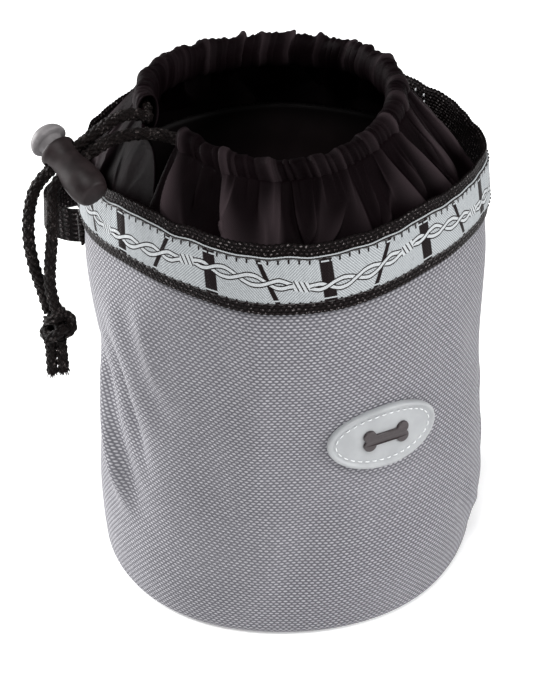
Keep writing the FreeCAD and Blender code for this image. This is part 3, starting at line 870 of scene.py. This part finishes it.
def make_lining():
    turns = ring_turns(300)
    top = rim_height(turns) - BAND_HEIGHT + 4.2
    rows = 60
    s = np.linspace(0, 1, rows)[:, None]
    z = 3.0 + s * (top - 3.0)
    creases = wobble(turns + z * 0.4, 5, (11, 17, 23), 0.5) * smooth_step(0, 30, z) * (1 - s**6)
    gap = SHELL_THICKNESS + 1.3 - 1.1 * smooth_step(0.9, 1.0, s)
    side = at(turns, shell_radius(turns, z) - gap - np.abs(creases), z)
    share = np.array([0.004, 0.3, 0.6, 0.85, 0.96, 1.0])[:, None]
    puff = 0.5 * (1 - share) + wobble(turns, 9, (5, 9), 0.25) * share * (1 - share)
    floor = at(turns, (shell_radius(turns, FOOT_CORNER) - 5.5) * share, 1.75 + puff)
    uv = wrap_uv(turns, np.concatenate([np.linspace(-60, 0, 6), np.linspace(3, 118, rows)]))
    lining = thick_sheet("inner_lining", np.concatenate([floor, side]), LINING_THICKNESS, uv)
    finish_piece(lining, LINING, "pouch", "lining_nylon", "lining_wall", "lining_base")


# ---- rim band, ribbon and stitching


def band_point(turns, height, out=0.0):
    """A point on the band's outer face, this high above its lower edge. Its upper edge leans and waves."""
    share = np.asarray(height) / BAND_HEIGHT
    low = shell_radius(turns, rim_height(turns) - BAND_HEIGHT + 1.0) + BAND_THICKNESS + 0.15
    high = rim_radius(turns) + 0.2
    lean = smooth_step(0.1, 1.0, share)
    wave = wobble(turns, 3, (13, 19, 29), 0.35) * share
    dip = wobble(turns, 4, (9, 17, 27, 41), 0.55) * share
    z = rim_height(turns) - BAND_HEIGHT + height + dip
    return at(turns, low * (1 - lean) + high * lean + wave + out, z)


def make_band():
    turns = ring_turns(900)
    heights = np.linspace(0, BAND_HEIGHT, 26)
    points = band_point(turns, heights[:, None])
    scallop = 0.16 * np.sin(np.radians(turns) * 230)
    points[-1, :, 2] += scallop
    points[0, :, 2] += scallop * 0.8
    edge = np.minimum(heights, BAND_HEIGHT - heights)
    thickness = BAND_THICKNESS * (0.45 + 0.55 * smooth_step(0, 1.2, edge))[:, None]
    band = thick_sheet("rim_webbing", points, thickness, wrap_uv(turns, heights))
    finish_piece(band, WEBBING, "pouch", "black_webbing", "rim_band")


def make_ribbon():
    turns = ring_turns(900)
    heights = np.linspace(0, RIBBON_HEIGHT, 20)
    edge = np.minimum(heights, RIBBON_HEIGHT - heights)[:, None]
    puff = 0.096 * np.abs(np.sin(np.radians(turns) * 66)) * smooth_step(0, 3, edge)
    swell = 0.12 + 0.38 * smooth_step(0, 0.9, edge)
    points = band_point(turns, RIBBON_LIFT + heights[:, None], swell + puff)
    ribbon = thick_sheet("silver_ribbon", points, RIBBON_THICKNESS, wrap_uv(turns, heights))
    finish_piece(ribbon, RIBBON, "pouch", "jacquard_ribbon", "rim_ribbon")
    line = ring_turns(1441)
    for side, height in (("upper", RIBBON_HEIGHT - 0.55), ("lower", 0.55)):
        path = band_point(line, RIBBON_LIFT + height, 0.5)
        row = stitch_row(side + "_stitching", path, *RIBBON_STITCH, at(line, 1.0, 0.0))
        finish_piece(row, BLACK_THREAD, "pouch", "black_thread", "ribbon_stitch_" + side)


def make_band_join():
    """The two rows of light thread up the inside of the band where its ends meet."""
    heights = np.linspace(3.0, BAND_HEIGHT - 1.0, 30)
    rows = []
    for turn in JOIN_TURNS:
        line = np.full(len(heights), turn)
        path = band_point(line, heights, -BAND_THICKNESS - 0.12)
        rows.append(stitch_row("join_row", path, *JOIN_STITCH, -at(line, 1.0, 0.0)))
    join = join_pieces("join_stitching", rows)
    finish_piece(join, LIGHT_THREAD, "pouch", "light_thread", "band_join_stitching")


# ---- collar and hem

SLIT_REAR = -96.0
SLIT_FRONT = -67.0
# The drawn hem is an oval, held towards the lock, and it sags at the front.
hem_radius = ring_curve([
    (-160, 40.4), (-140, 40.0), (-115, 39.4), (-96, 40.6), (-68, 40.9), (-45, 41.8), (-25, 41.6), (0, 39.0),
    (20, 36.4), (42, 34.2), (64, 33.4), (88, 34.4), (110, 36.8), (132, 38.8), (155, 40.0), (178, 40.0),
], 8)
hem_height = ring_curve([
    (-160, 152.0), (-128, 152.6), (-96, 152.2), (-80, 151.0), (-68, 149.3), (-51, 145.6), (-30, 142.9),
    (-6, 143.4), (20, 146.6), (45, 149.6), (64, 151.0), (90, 151.4), (112, 151.4), (135, 151.2), (155, 151.4),
    (178, 151.6),
], 8)
HEM_HALF_WIDTH = 2.9
HEM_HALF_HEIGHT = 4.9
# The collar's panel laid flat, in millimetres.
COLLAR_FLAT = (345.0, 40.0)
# The farthest the collar's folds come towards the band's free edge.
BAND_CLEARANCE = 2.3
FOLD_SEED = 12
# Long folds, short gathers at the hem, and slanting creases: the spacing of each kind in degrees, its largest
# slant, where it fades in, where it ends, its half width in degrees and its height.
FOLD_KINDS = [
    ((8.0, 19.0), 14, (-0.25, 0.3), 2.0, (2.6, 6.6), (2.4, 5.6)),
    ((2.3, 4.8), 7, (0.35, 0.8), 2.0, (0.8, 1.6), (1.2, 3.2)),
    ((7.0, 15.0), 30, (0.0, 0.35), 0.72, (1.2, 2.6), (1.0, 2.6)),
]


def cast_folds():
    """Each fold's turn at the hem, slant, lower and upper end, half width, height, and side it leans to."""
    random = np.random.default_rng(FOLD_SEED)
    folds = []
    for spacing, slants, reaches, top, widths, heights in FOLD_KINDS:
        turn = SLIT_REAR
        while turn < SLIT_REAR + 360:
            slant = random.uniform(-slants, slants)
            reach = random.uniform(*reaches)
            width = random.uniform(*widths)
            height = random.uniform(*heights)
            folds.append((turn, slant, reach, top, width, height, random.choice((-1, 1))))
            turn += random.uniform(*spacing)
    return folds


FOLDS = cast_folds()


def fold_field(turns, s):
    """How far the folds stand out, in millimetres, and how far they lean over sideways, in degrees."""
    turns, s = np.broadcast_arrays(np.asarray(turns, float), np.asarray(s, float))
    rise = np.zeros(turns.shape)
    lean = np.zeros(turns.shape)
    down = 1 - s
    for turn, slant, reach, top, width, height, side in FOLDS:
        off = turn_past(turns, turn + slant * down * (0.6 + 0.5 * down))
        wide = width * (0.55 + 0.75 * down)
        steep = np.where(off * side > 0, 0.55, 1.35)
        shape = np.exp(-((np.abs(off) / (wide * steep)) ** 1.35))
        along = smooth_step(reach, reach + 0.35, s) * (1 - 0.55 * smooth_step(0.6, 1.0, s))
        along = along * (1 - smooth_step(top - 0.2, top + 0.1, s))
        rise = rise + height * along * shape
        lean = lean + side * height * along * shape
    cap = 3.4 + 2.8 * np.sqrt(np.clip(down, 0, 1))
    rise = cap * np.tanh(rise / cap) - 1.7 * smooth_step(0, 0.4, s)
    shallow = 1 - 0.45 * smooth_step(0.7, 1.0, s)
    return np.where(rise < 0, rise * shallow, rise), np.clip(lean * 0.6, -2.4, 2.4)


def slit_edges(s):
    """The turns of the collar's front and rear free edges at the lock."""
    return SLIT_FRONT - 4.0 * (1 - s), -66.5 - 6.5 * s + (SLIT_REAR + 73.0) * s**7


def collar_surface(turns, s):
    """Points of the collar: s is 0 at its seam inside the band and 1 near the hem's crest."""
    low_z = rim_height(turns) - BAND_HEIGHT + 5.0
    low_r = shell_radius(turns, low_z) - 0.7
    reach = hem_radius(turns) + HEM_HALF_WIDTH + 0.3 - low_r
    climb = hem_height(turns) + 0.3 * HEM_HALF_HEIGHT - low_z
    front, rear = slit_edges(s)
    to_rear = rear + 360 - turns
    # The cloth bows out, least at the right, and is tucked in along its rear free edge.
    bow = 3.0 - 5.0 * np.exp(-(((turns - 98) / 38) ** 2))
    low_part = 1 - smooth_step(0.8, 0.97, s)
    tuck = 2.0 * (1 - smooth_step(4, 16, to_rear)) * smooth_step(0, 0.12, s) * low_part
    radius = low_r + reach * (smooth_step(0.02, 1.05, s) * 0.55 + s * 0.45)
    radius = radius + bow * np.sin(math.pi * s) - 1.6 * smooth_step(0.95, 1.0, s) - tuck
    z = low_z + climb * s - 4.0 * np.sin(math.pi * s) * (1 - s)
    # The folds calm down towards the free edges and at the seam.
    flat = smooth_step(0, 15, to_rear) * smooth_step(0, 4, turns - front)
    flat = flat + (1 - flat) * smooth_step(0.8, 1.0, s)
    near_rear = smooth_step(28, 10, to_rear) * (1 - smooth_step(0.75, 1.0, s))
    hold = smooth_step(0.0, 0.15, s) * flat * (1 - 0.75 * near_rear)
    sag = wobble(turns, 41, (5, 8, 11), 1.6) * np.sin(math.pi * s) * flat
    rise, lean = fold_field(turns, s)
    out = np.minimum(radius + rise * hold + sag, rim_radius(turns) - BAND_CLEARANCE)
    return at(turns + lean * hold * (1 - 0.5 * s), out, z)


def crest_of(rise):
    """How far each point stands out on its fold, from 0 to 1, for the nylon's painted light on crests and
    painted shade in valleys.
    """
    return smooth_step(-0.6, 3.6, rise)


def make_collar():
    rows = 100
    cols = 1100
    points = []
    rises = []
    for s in np.linspace(0, 1, rows):
        front, rear = slit_edges(s)
        turns = np.linspace(front, rear + 360, cols)
        points.append(collar_surface(turns, s))
        # The folds' rise, calmed near the rear free edge, sets where the nylon is painted light on crests and
        # painted shade in valleys.
        calm = smooth_step(6, 30, rear + 360 - turns) * (0.6 + 0.4 * smooth_step(0.3, 0.9, s))
        rises.append((fold_field(turns, s)[0] + 0.6) * calm - 0.6)
    uv = grid_uv(np.linspace(0, COLLAR_FLAT[0], cols), np.linspace(0, COLLAR_FLAT[1], rows))
    margin = np.minimum(uv[..., 0], COLLAR_FLAT[0] - uv[..., 0])
    thickness = COLLAR_THICKNESS + 0.45 * (1 - smooth_step(3.2, 3.9, margin))
    crest = crest_of(np.array(rises))
    collar = thick_sheet("gathered_collar", np.array(points), thickness, uv, wrap_cols=False, crest=crest)
    return finish_piece(collar, NYLON, "pouch", "collar_nylon", "collar")


def make_hem():
    """The gathered hem round the cord: a flattened tube nipped between the gathers."""
    a, t = np.meshgrid(loop_angles(56), np.linspace(SLIT_FRONT, SLIT_REAR + 360, 1700))
    outward = np.cos(a)
    upward = np.sin(a)
    rise, lean = fold_field(t + 2.2 * np.clip(upward, 0, 1), 1.0)
    rise = rise * (1.0 + 0.1 * smooth_step(100, 130, t % 360) * smooth_step(260, 235, t % 360)) + 0.1
    end = smooth_step(0, 3, t - SLIT_FRONT) * smooth_step(0, 3, SLIT_REAR + 360 - t)
    rise = rise * (0.35 + 0.65 * end)
    half_w = HEM_HALF_WIDTH + 0.1 * rise
    half_h = HEM_HALF_HEIGHT + 0.75 * rise * np.clip(upward, 0, 1) + wobble(t, 35, (23, 37, 51), 0.5)
    shape = np.sign(outward) * np.abs(outward) ** 0.8
    tilt = wobble(t, 33, (7, 15, 31), 0.7)
    radius = hem_radius(t) + half_w * shape + rise * (0.62 + 0.28 * outward) + tilt * upward
    points = at(t + lean * 0.5 * end, radius, hem_height(t) + half_h * upward)
    uv = np.stack([np.radians(t) * 42, a * 4.5], axis=-1)
    # The gathers' rise sets the nylon's painted light on their crests and painted shade between them.
    hem = thick_sheet("puckered_hem", points, HEM_THICKNESS, uv, crest=crest_of(rise * 1.2 + 0.3))
    return finish_piece(hem, NYLON, "pouch", "collar_nylon", "collar_hem")


make_shell()
make_base()
make_lining()
make_band()
make_ribbon()
make_band_join()
collar = make_collar()
hem = make_hem()


# ---- badge

BONE_LOBE = 1.8
BONE_LOBE_X = 5.7
BONE_HALF_HEIGHT = 1.6
# The (inset from the edge, lift off the cloth) of each ring of the badge's raised rim, from outside inwards.
BADGE_RIM = [
    (0.05, 0.0), (0.0, 0.9), (0.12, 1.45), (0.4, 1.8), (0.8, 1.92), (1.2, 1.8), (1.5, 1.45), (1.75, 1.25),
    (2.4, 1.2),
]
BADGE_STITCH_INSET = 2.5


def on_shell(x, z, lift):
    """The point on the shell this far round from the badge's middle, at this height, and off the cloth."""
    turn = np.degrees((x + BADGE_SHIFT) / BADGE_ROUND)
    return at(turn, shell_radius(0 * turn, z) * 0.55 + shell_radius(turn, z) * 0.45 + lift, z)


def badge_ring(angle, inset, lift, share=1.0):
    """An oval on the shell, this far in from the badge's edge and then shrunk to this share."""
    x = (BADGE_WIDTH / 2 - inset) * share * np.cos(angle)
    z = (BADGE_HEIGHT / 2 - inset) * share * np.sin(angle)
    return on_shell(x, BADGE_Z + z, lift)


def make_badge():
    angle = loop_angles(160)
    rings = [badge_ring(angle, 0.0, -0.4, 0.98)]
    rings += [badge_ring(angle, inset, lift) for inset, lift in BADGE_RIM]
    rings += [badge_ring(angle, *BADGE_RIM[-1], share) for share in (0.8, 0.6, 0.4, 0.2, 0.01)]
    plate = add_mesh("badge_plate_skin", np.array(rings), rod_cells(len(rings), 160))
    finish_piece(plate, BADGE, "pouch", "badge_pvc", "badge_plate")
    angle = np.linspace(0, 2 * math.pi, 400)
    path = badge_ring(angle, BADGE_STITCH_INSET, 1.25)
    off = at(np.degrees((BADGE_WIDTH / 2 - BADGE_STITCH_INSET) * np.cos(angle) / BADGE_ROUND), 1.0, 0.0)
    row = stitch_row("badge_thread", path, *BADGE_STITCH, off)
    finish_piece(row, LIGHT_THREAD, "pouch", "light_thread", "badge_stitching")


def bone_outline():
    """A plain bone's outline: two round lobes at each end of a straight shaft."""
    notch = math.acos(math.sqrt(BONE_LOBE**2 - BONE_HALF_HEIGHT**2) / BONE_LOBE)
    points = []
    for side in (1, -1):
        points.append((-side * (BONE_LOBE_X - BONE_LOBE), side * BONE_HALF_HEIGHT))
        for half, start, end, first in ((1, math.pi, -notch, 0), (-1, notch, -math.pi, 1)):
            for step in range(first, 13):
                angle = start + (end - start) * step / 12
                x = BONE_LOBE_X + BONE_LOBE * math.cos(angle)
                points.append((side * x, side * (half * BONE_HALF_HEIGHT + BONE_LOBE * math.sin(angle))))
    return points


def make_bone():
    outline = [(x * 0.94, z * 0.9, 0) for x, z in bone_outline()]
    holder, curve, spline = add_curve("bone", "2D", "POLY", outline)
    spline.use_cyclic_u = True
    curve.fill_mode = "BOTH"
    curve.extrude = 0.35
    curve.bevel_depth = 0.3
    curve.bevel_resolution = 3
    mesh = shape_as_mesh(holder)
    bpy.data.objects.remove(holder)
    co = np.array([v.co for v in mesh.vertices])
    placed = on_shell(co[:, 0], BADGE_Z + co[:, 1], 1.35 + co[:, 2]) * MM
    mesh.vertices.foreach_set("co", placed.reshape(-1))
    mesh.update()
    finish_piece(place_object("raised_bone", mesh), BONE, "pouch", "bone_pvc", "badge_bone")


make_badge()
make_bone()


# ---- webbing loop

LOOP_TURN = -125.0
LOOP_REAR = -20.0
LOOP_FRONT = 15.5
LOOP_BOW = 13.0
LOOP_STAND = 13.2
LOOP_THICKNESS = 1.4
LOOP_ROUND = 59.5
LOOP_BOTTOM = low_corner("belt_loop")[2] + 1.6
LOOP_HEIGHT = node_size("belt_loop")[2] - 2.2


def make_loop():
    """A strip of webbing that bows out from the shell between two sewn ends."""
    x = np.linspace(LOOP_REAR, LOOP_FRONT, 160)
    inside = np.clip(np.abs(x) / LOOP_BOW, 0, 1)
    stand = LOOP_STAND * np.sqrt(np.clip(1 - inside**2, 0, 1)) ** 1.15 + 1.6
    turns = LOOP_TURN + np.degrees(x * (1 - 0.06 * (1 - inside)) / LOOP_ROUND)
    heights = np.linspace(0, LOOP_HEIGHT, 16)
    h = heights[:, None]
    sag = 1.2 * (1 - inside) * (0.5 - h / LOOP_HEIGHT)
    middle_z = LOOP_BOTTOM + LOOP_HEIGHT / 2
    radius = shell_radius(turns, middle_z) + stand + sag
    points = at(turns, radius, LOOP_BOTTOM + h + 0.8 * (1 - inside))
    edge = np.minimum(heights, LOOP_HEIGHT - heights)
    thickness = LOOP_THICKNESS * (0.45 + 0.55 * smooth_step(0, 1.0, edge))[:, None]
    uv = grid_uv(x * 1.25, heights)[..., ::-1]
    loop = thick_sheet("webbing_loop", points, thickness, uv, wrap_cols=False)
    finish_piece(loop, WEBBING, "pouch", "black_webbing", "belt_loop")
    tack_z = np.linspace(LOOP_BOTTOM + 1.0, LOOP_BOTTOM + LOOP_HEIGHT - 1.0, 20)
    for middle, node in ((LOOP_FRONT - 1.2, "loop_bartack_front"), (LOOP_REAR + 3.0, "loop_bartack_rear")):
        rows = []
        for shift in (-0.7, 0.0, 0.7):
            turn = np.full(20, LOOP_TURN + math.degrees((middle + shift) / LOOP_ROUND))
            path = at(turn, shell_radius(turn, middle_z) + 1.65, tack_z)
            rows.append(stitch_row("tack", path, *TACK_STITCH, at(turn, 1.0, 0.0)))
        tack = join_pieces(node + "_thread", rows)
        finish_piece(tack, BLACK_THREAD, "pouch", "black_thread", node)


make_loop()


# ---- drawcord, with its routes in metres as in the frame

LEAD_UPPER = [
    (-0.0408, 0.0040, 0.1520), (-0.0412, 0.0005, 0.1516), (-0.0438, -0.0008, 0.1538),
    (-0.0476, -0.0015, 0.1552), (-0.0520, -0.0014, 0.1546), (-0.0592, -0.0016, 0.1511),
    (-0.0678, -0.0015, 0.1460),
]
LEAD_LOWER = [
    (-0.0379, -0.0149, 0.1497), (-0.0397, -0.0108, 0.1502), (-0.0456, -0.0088, 0.1516),
    (-0.0516, -0.0056, 0.1509), (-0.0582, -0.0050, 0.1493), (-0.0668, -0.0049, 0.1442),
]
TAIL_LEFT = [
    (-0.0678, -0.0015, 0.1460), (-0.0756, -0.0014, 0.1414), (-0.0792, -0.0021, 0.1344),
    (-0.0808, -0.0028, 0.1254), (-0.0802, -0.0030, 0.1164), (-0.0784, -0.0022, 0.1086),
    (-0.0771, -0.0024, 0.1006),
]
TAIL_RIGHT = [
    (-0.0668, -0.0049, 0.1442), (-0.0728, -0.0048, 0.1406), (-0.0738, -0.0076, 0.1346),
    (-0.0755, -0.0081, 0.1256), (-0.0769, -0.0074, 0.1164), (-0.0773, -0.0064, 0.1084),
    (-0.0755, -0.0064, 0.1006),
]
# The knot's own directions: to the right, away from the camera, and up.
KNOT_AXES = np.array([(0.909, -0.416, 0.0), (0.416, 0.909, 0.0), (0.0, 0.0, 1.0)])


def cord_line(points):
    """The smooth line that a cord takes along its route, as points in millimetres."""
    holder, curve, spline = add_curve("route", "3D", "NURBS", points)
    curve.resolution_u = 24
    spline.order_u = 3
    spline.use_endpoint_u = True
    mesh = shape_as_mesh(holder)
    line = np.array([v.co for v in mesh.vertices]) / MM
    bpy.data.objects.remove(holder)
    bpy.data.meshes.remove(mesh)
    return line


def make_cord(name, points, node):
    """A braid along its route, in place of its CAD node."""
    line = cord_line(points)
    piece = braided_tube(name, line)
    piece.data.materials.append(CORD_BRAID)
    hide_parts(node)
    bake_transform(piece)


def make_knot():
    """An overhand knot drawn tight: the doubled cord wraps round itself in a ball with one lobe beside it."""
    centre = (low_corner("drawcord_knot") + high_corner("drawcord_knot")) / 2

    def strand(name, thick, x, y, z):
        return braided_tube(name, centre + np.stack([x, y, z], axis=-1) @ KNOT_AXES, CORD * thick)

    t = np.linspace(0, 1, 160)
    hump = np.sin(math.pi * t)
    a = np.radians(-60 + 560 * t)
    ball_r = 2.1 + 0.35 * hump
    ball = (-1.7 + ball_r * np.cos(a), ball_r * 0.95 * np.sin(a), 1.2 - 4.6 * t + 0.45 * np.cos(a))
    b = np.radians(-100 + 330 * t)
    lobe = (2.1 + 1.7 * np.cos(b), -1.4 + 2.6 * t, 1.5 + 2.5 * np.sin(b))
    c = np.radians(200 + 300 * t)
    top = (-0.8 + 2.2 * np.cos(c), 2.0 * np.sin(c), 3.7 + 0.5 * np.cos(c) + 0.8 * t)
    slant = (-3.6 + 6.2 * t, -2.9 - 0.7 * hump, -2.4 + 4.4 * t)
    strands = [
        strand("wrap", 0.97, *ball),
        strand("lobe", 0.97, *lobe),
        strand("top_wrap", 0.92, *top),
        strand("slant", 0.9, *slant),
    ]
    knot = join_pieces("overhand_knot", strands)
    return finish_piece(knot, CORD_BRAID, "pouch", "braided_cord", "drawcord_knot")


def fray(start, ahead, count, length, spread, seed):
    """Loose fibres that fan out of a cut cord's end."""
    random = np.random.default_rng(seed)
    t = np.linspace(0, 1, 7)[:, None]
    points = []
    cells = []
    for _ in range(count):
        angle = random.uniform(0, 2 * math.pi)
        out = math.sqrt(random.uniform(0, 1))
        off = np.array([math.cos(angle), math.sin(angle), 0]) * out
        bend = random.normal(0, 0.25, 3)
        reach = length * random.uniform(0.55, 1.0)
        path = start + off * 1.5 + ahead * reach * t + off * spread * t**1.6 + bend * reach * 0.3 * t**2
        cells += rod_cells(7, 4, len(points))
        points += rings_round(path, *cross_directions(path), 0.17 - 0.08 * t, 4).reshape(-1, 3).tolist()
    return add_mesh("fray", points, cells, smooth=False)


# The two cut ends: the seed of the loose fibres, the offset at the knot and at the foot, and the length.
CUT_ENDS = [(41, (-1.5, 0.7), (-1.9, 0.9), 9.2), (42, (1.2, -0.8), (1.0, -1.0), 8.4)]


def make_ends():
    """The two cut ends below the knot, side by side, with a little loose fibre."""
    low = low_corner("drawcord_ends")
    high = high_corner("drawcord_ends")
    x, y, _ = (low + high) / 2
    t = np.linspace(0, 1, 40)[:, None]
    parts = []
    for seed, head, foot, length in CUT_ENDS:
        top = np.array([x + head[0], y + head[1], high[2] + 2.5])
        end = np.array([x + foot[0], y + foot[1], high[2] - length + 0.6])
        parts.append(braided_tube("end", top + (end - top) * t, CORD * 0.97))
        ahead = (end - top) / np.linalg.norm(end - top)
        parts.append(fray(end - ahead * 0.9, ahead, 60, 2.1, 0.7, seed))
    ends = join_pieces("cut_ends", parts)
    return finish_piece(ends, CORD_BRAID, "pouch", "braided_cord", "drawcord_ends")


def make_channel_run():
    """The cord inside the hem, seen only at the hem's two mouths."""
    turns = np.linspace(SLIT_FRONT, SLIT_REAR + 360, 400)
    run = braided_tube("cord_in_hem", at(turns, hem_radius(turns), hem_height(turns) + 1.0))
    finish_piece(run, CORD_BRAID, "pouch", "braided_cord", "drawcord_channel_run")


knot = make_knot()
ends = make_ends()
make_channel_run()
make_cord("lead_upper_braid", LEAD_UPPER, "drawcord_lead_upper")
make_cord("lead_lower_braid", LEAD_LOWER, "drawcord_lead_lower")
make_cord("tail_left_braid", TAIL_LEFT, "drawcord_tail_left")
make_cord("tail_right_braid", TAIL_RIGHT, "drawcord_tail_right")


# ---- cord lock, in its own frame: Z along the button's travel from the barrel's rim, X through the hole

LOCK_UP = Vector((-0.2627, 0.8451, 0.4655)).normalized()
LOCK_ALONG = Vector((0.8603, -0.0132, 0.5096)).normalized()
LOCK_RIM = Vector((-0.06872, 0.00136, 0.14761))
SPRING_FLOOR = -17.4
HOLE_Z = -5.4
HOLE_CORNER = 1.6
PLUNGER_BOTTOM = -12.0
BARREL_OUTLINE = [
    (0, SPRING_FLOOR), (3.6, SPRING_FLOOR), (3.6, -0.4), (3.8, 0.0), (5.25, 0.0), (5.3, -1.3), (4.95, -2.4),
    (4.7, -5.0), (4.9, -8.5), (5.35, -12.5), (5.2, -15.8), (4.2, -18.5), (0, -18.5),
]
# The dome's foot stands this far above the barrel's rim, and its top this far above its foot.
DOME_GAP = 3.15
DOME_HEIGHT = 4.5
DOME_RADIUS = 5.45
DOME_EDGE = 0.55
PLUNGER_OUTLINE = [
    (5.4, DOME_GAP + 0.25), (5.1, DOME_GAP), (3.9, DOME_GAP - 0.05), (3.5, DOME_GAP - 0.3),
    (3.4, DOME_GAP - 0.8), (3.4, PLUNGER_BOTTOM), (0, PLUNGER_BOTTOM),
]
SPRING_TURNS = 2
SPRING_TOP = PLUNGER_BOTTOM - 0.6
SPRING_RADIUS = 2.6
SPRING_WIRE = 0.8


def lathe(name, outline, cols=96):
    """A turned solid from its (radius, height) outline, whose first and last points lie on the axis."""
    radius, z = np.array(outline[1:-1])[..., None].transpose(1, 0, 2)
    a = loop_angles(cols)
    rings = np.stack(np.broadcast_arrays(radius * np.cos(a), radius * np.sin(a), z), axis=-1)
    points = np.vstack([rings.reshape(-1, 3), (0, 0, outline[0][1]), (0, 0, outline[-1][1])])
    return add_mesh(name, points, [quads(len(rings), cols)] + fan_ends(len(rings), cols))


def rounded(points, radius, steps=4):
    """An outline with its inner corners rounded by short arcs of about this radius."""
    out = [points[0]]
    for before, corner, after in zip(points, points[1:], points[2:]):
        b, c, a = np.array(before, float), np.array(corner, float), np.array(after, float)
        cut = min(radius, 0.45 * np.linalg.norm(b - c), 0.45 * np.linalg.norm(a - c))
        start = c + (b - c) / np.linalg.norm(b - c) * cut
        end = c + (a - c) / np.linalg.norm(a - c) * cut
        for t in np.linspace(0, 1, steps + 1):
            out.append(tuple(start * (1 - t) ** 2 + c * 2 * t * (1 - t) + end * t**2))
    return out + [points[-1]]


def slot_cutter(top, bottom, width):
    """A long bar with rounded corners through the lock along its X."""
    y = width / 2 - HOLE_CORNER
    high = top - HOLE_CORNER
    low = bottom + HOLE_CORNER
    section = []
    for corner_y, corner_z, start in ((y, high, 0), (-y, high, 90), (-y, low, 180), (y, low, 270)):
        for a in np.radians(np.linspace(start, start + 90, 7)):
            section.append((corner_y + HOLE_CORNER * math.cos(a), corner_z + HOLE_CORNER * math.sin(a)))
    points = [(x, y, z) for x in (-9.0, 9.0) for y, z in section]
    return add_mesh("cutter", points, rod_cells(2, len(section)), smooth=False)


def carve(piece, cutter):
    """Cuts the cutter out of the piece, and softens the edges that this leaves."""
    cut = piece.modifiers.new("cut", "BOOLEAN")
    cut.operation = "DIFFERENCE"
    cut.solver = "EXACT"
    cut.object = cutter
    soften = piece.modifiers.new("soften", "BEVEL")
    soften.width = 0.25 * MM
    soften.segments = 2
    soften.limit_method = "ANGLE"
    soften.angle_limit = math.radians(50)
    mesh = shape_as_mesh(piece)
    piece.modifiers.clear()
    piece.data = mesh
    bpy.data.objects.remove(cutter)


def put_in_lock(piece):
    """From the lock's own frame to the pouch's."""
    side = LOCK_UP.cross(LOCK_ALONG)
    turn = Matrix((LOCK_ALONG, side, LOCK_UP)).transposed()
    piece.data.transform(Matrix.Translation(LOCK_RIM) @ turn.to_4x4())
    piece.data.polygons.foreach_set("use_smooth", [True] * len(piece.data.polygons))
    piece.data.update()
    return piece


def make_lock():
    barrel = lathe("lock_barrel_shell", rounded(BARREL_OUTLINE, 1.0))
    carve(barrel, slot_cutter(HOLE_Z + 4, HOLE_Z - 4, 4.3))
    finish_piece(put_in_lock(barrel), PLASTIC, "cord_lock", "lock_plastic", "lock_barrel")
    dome = [(0, DOME_GAP + DOME_HEIGHT)]
    for angle in np.radians(range(80, -1, -5)):
        rise = DOME_EDGE + (DOME_HEIGHT - DOME_EDGE) * math.sin(angle)
        dome.append((DOME_RADIUS * math.cos(angle), DOME_GAP + rise))
    plunger = lathe("push_button", (dome + PLUNGER_OUTLINE)[::-1])
    carve(plunger, slot_cutter(1.8, HOLE_Z - 3.95, 4.2))
    # The button gets the lighter copy of the lock's plastic, with painted light on its dome.
    finish_piece(put_in_lock(plunger), DOME, "lock_button", "lock_plastic", "lock_plunger")


def make_spring():
    """The coil between the plunger and the barrel's floor."""
    angle = np.linspace(0, SPRING_TURNS * 2 * math.pi, 97)
    heights = np.linspace(SPRING_FLOOR + 0.6, SPRING_TOP, len(angle))
    path = np.stack([SPRING_RADIUS * np.cos(angle), SPRING_RADIUS * np.sin(angle), heights], axis=-1)
    coil = put_in_lock(braided_tube("lock_coil", path, SPRING_WIRE, relief=0.0))
    finish_piece(coil, STEEL, "cord_lock", "spring_steel", "lock_spring")
    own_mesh(coil)


make_lock()
make_spring()
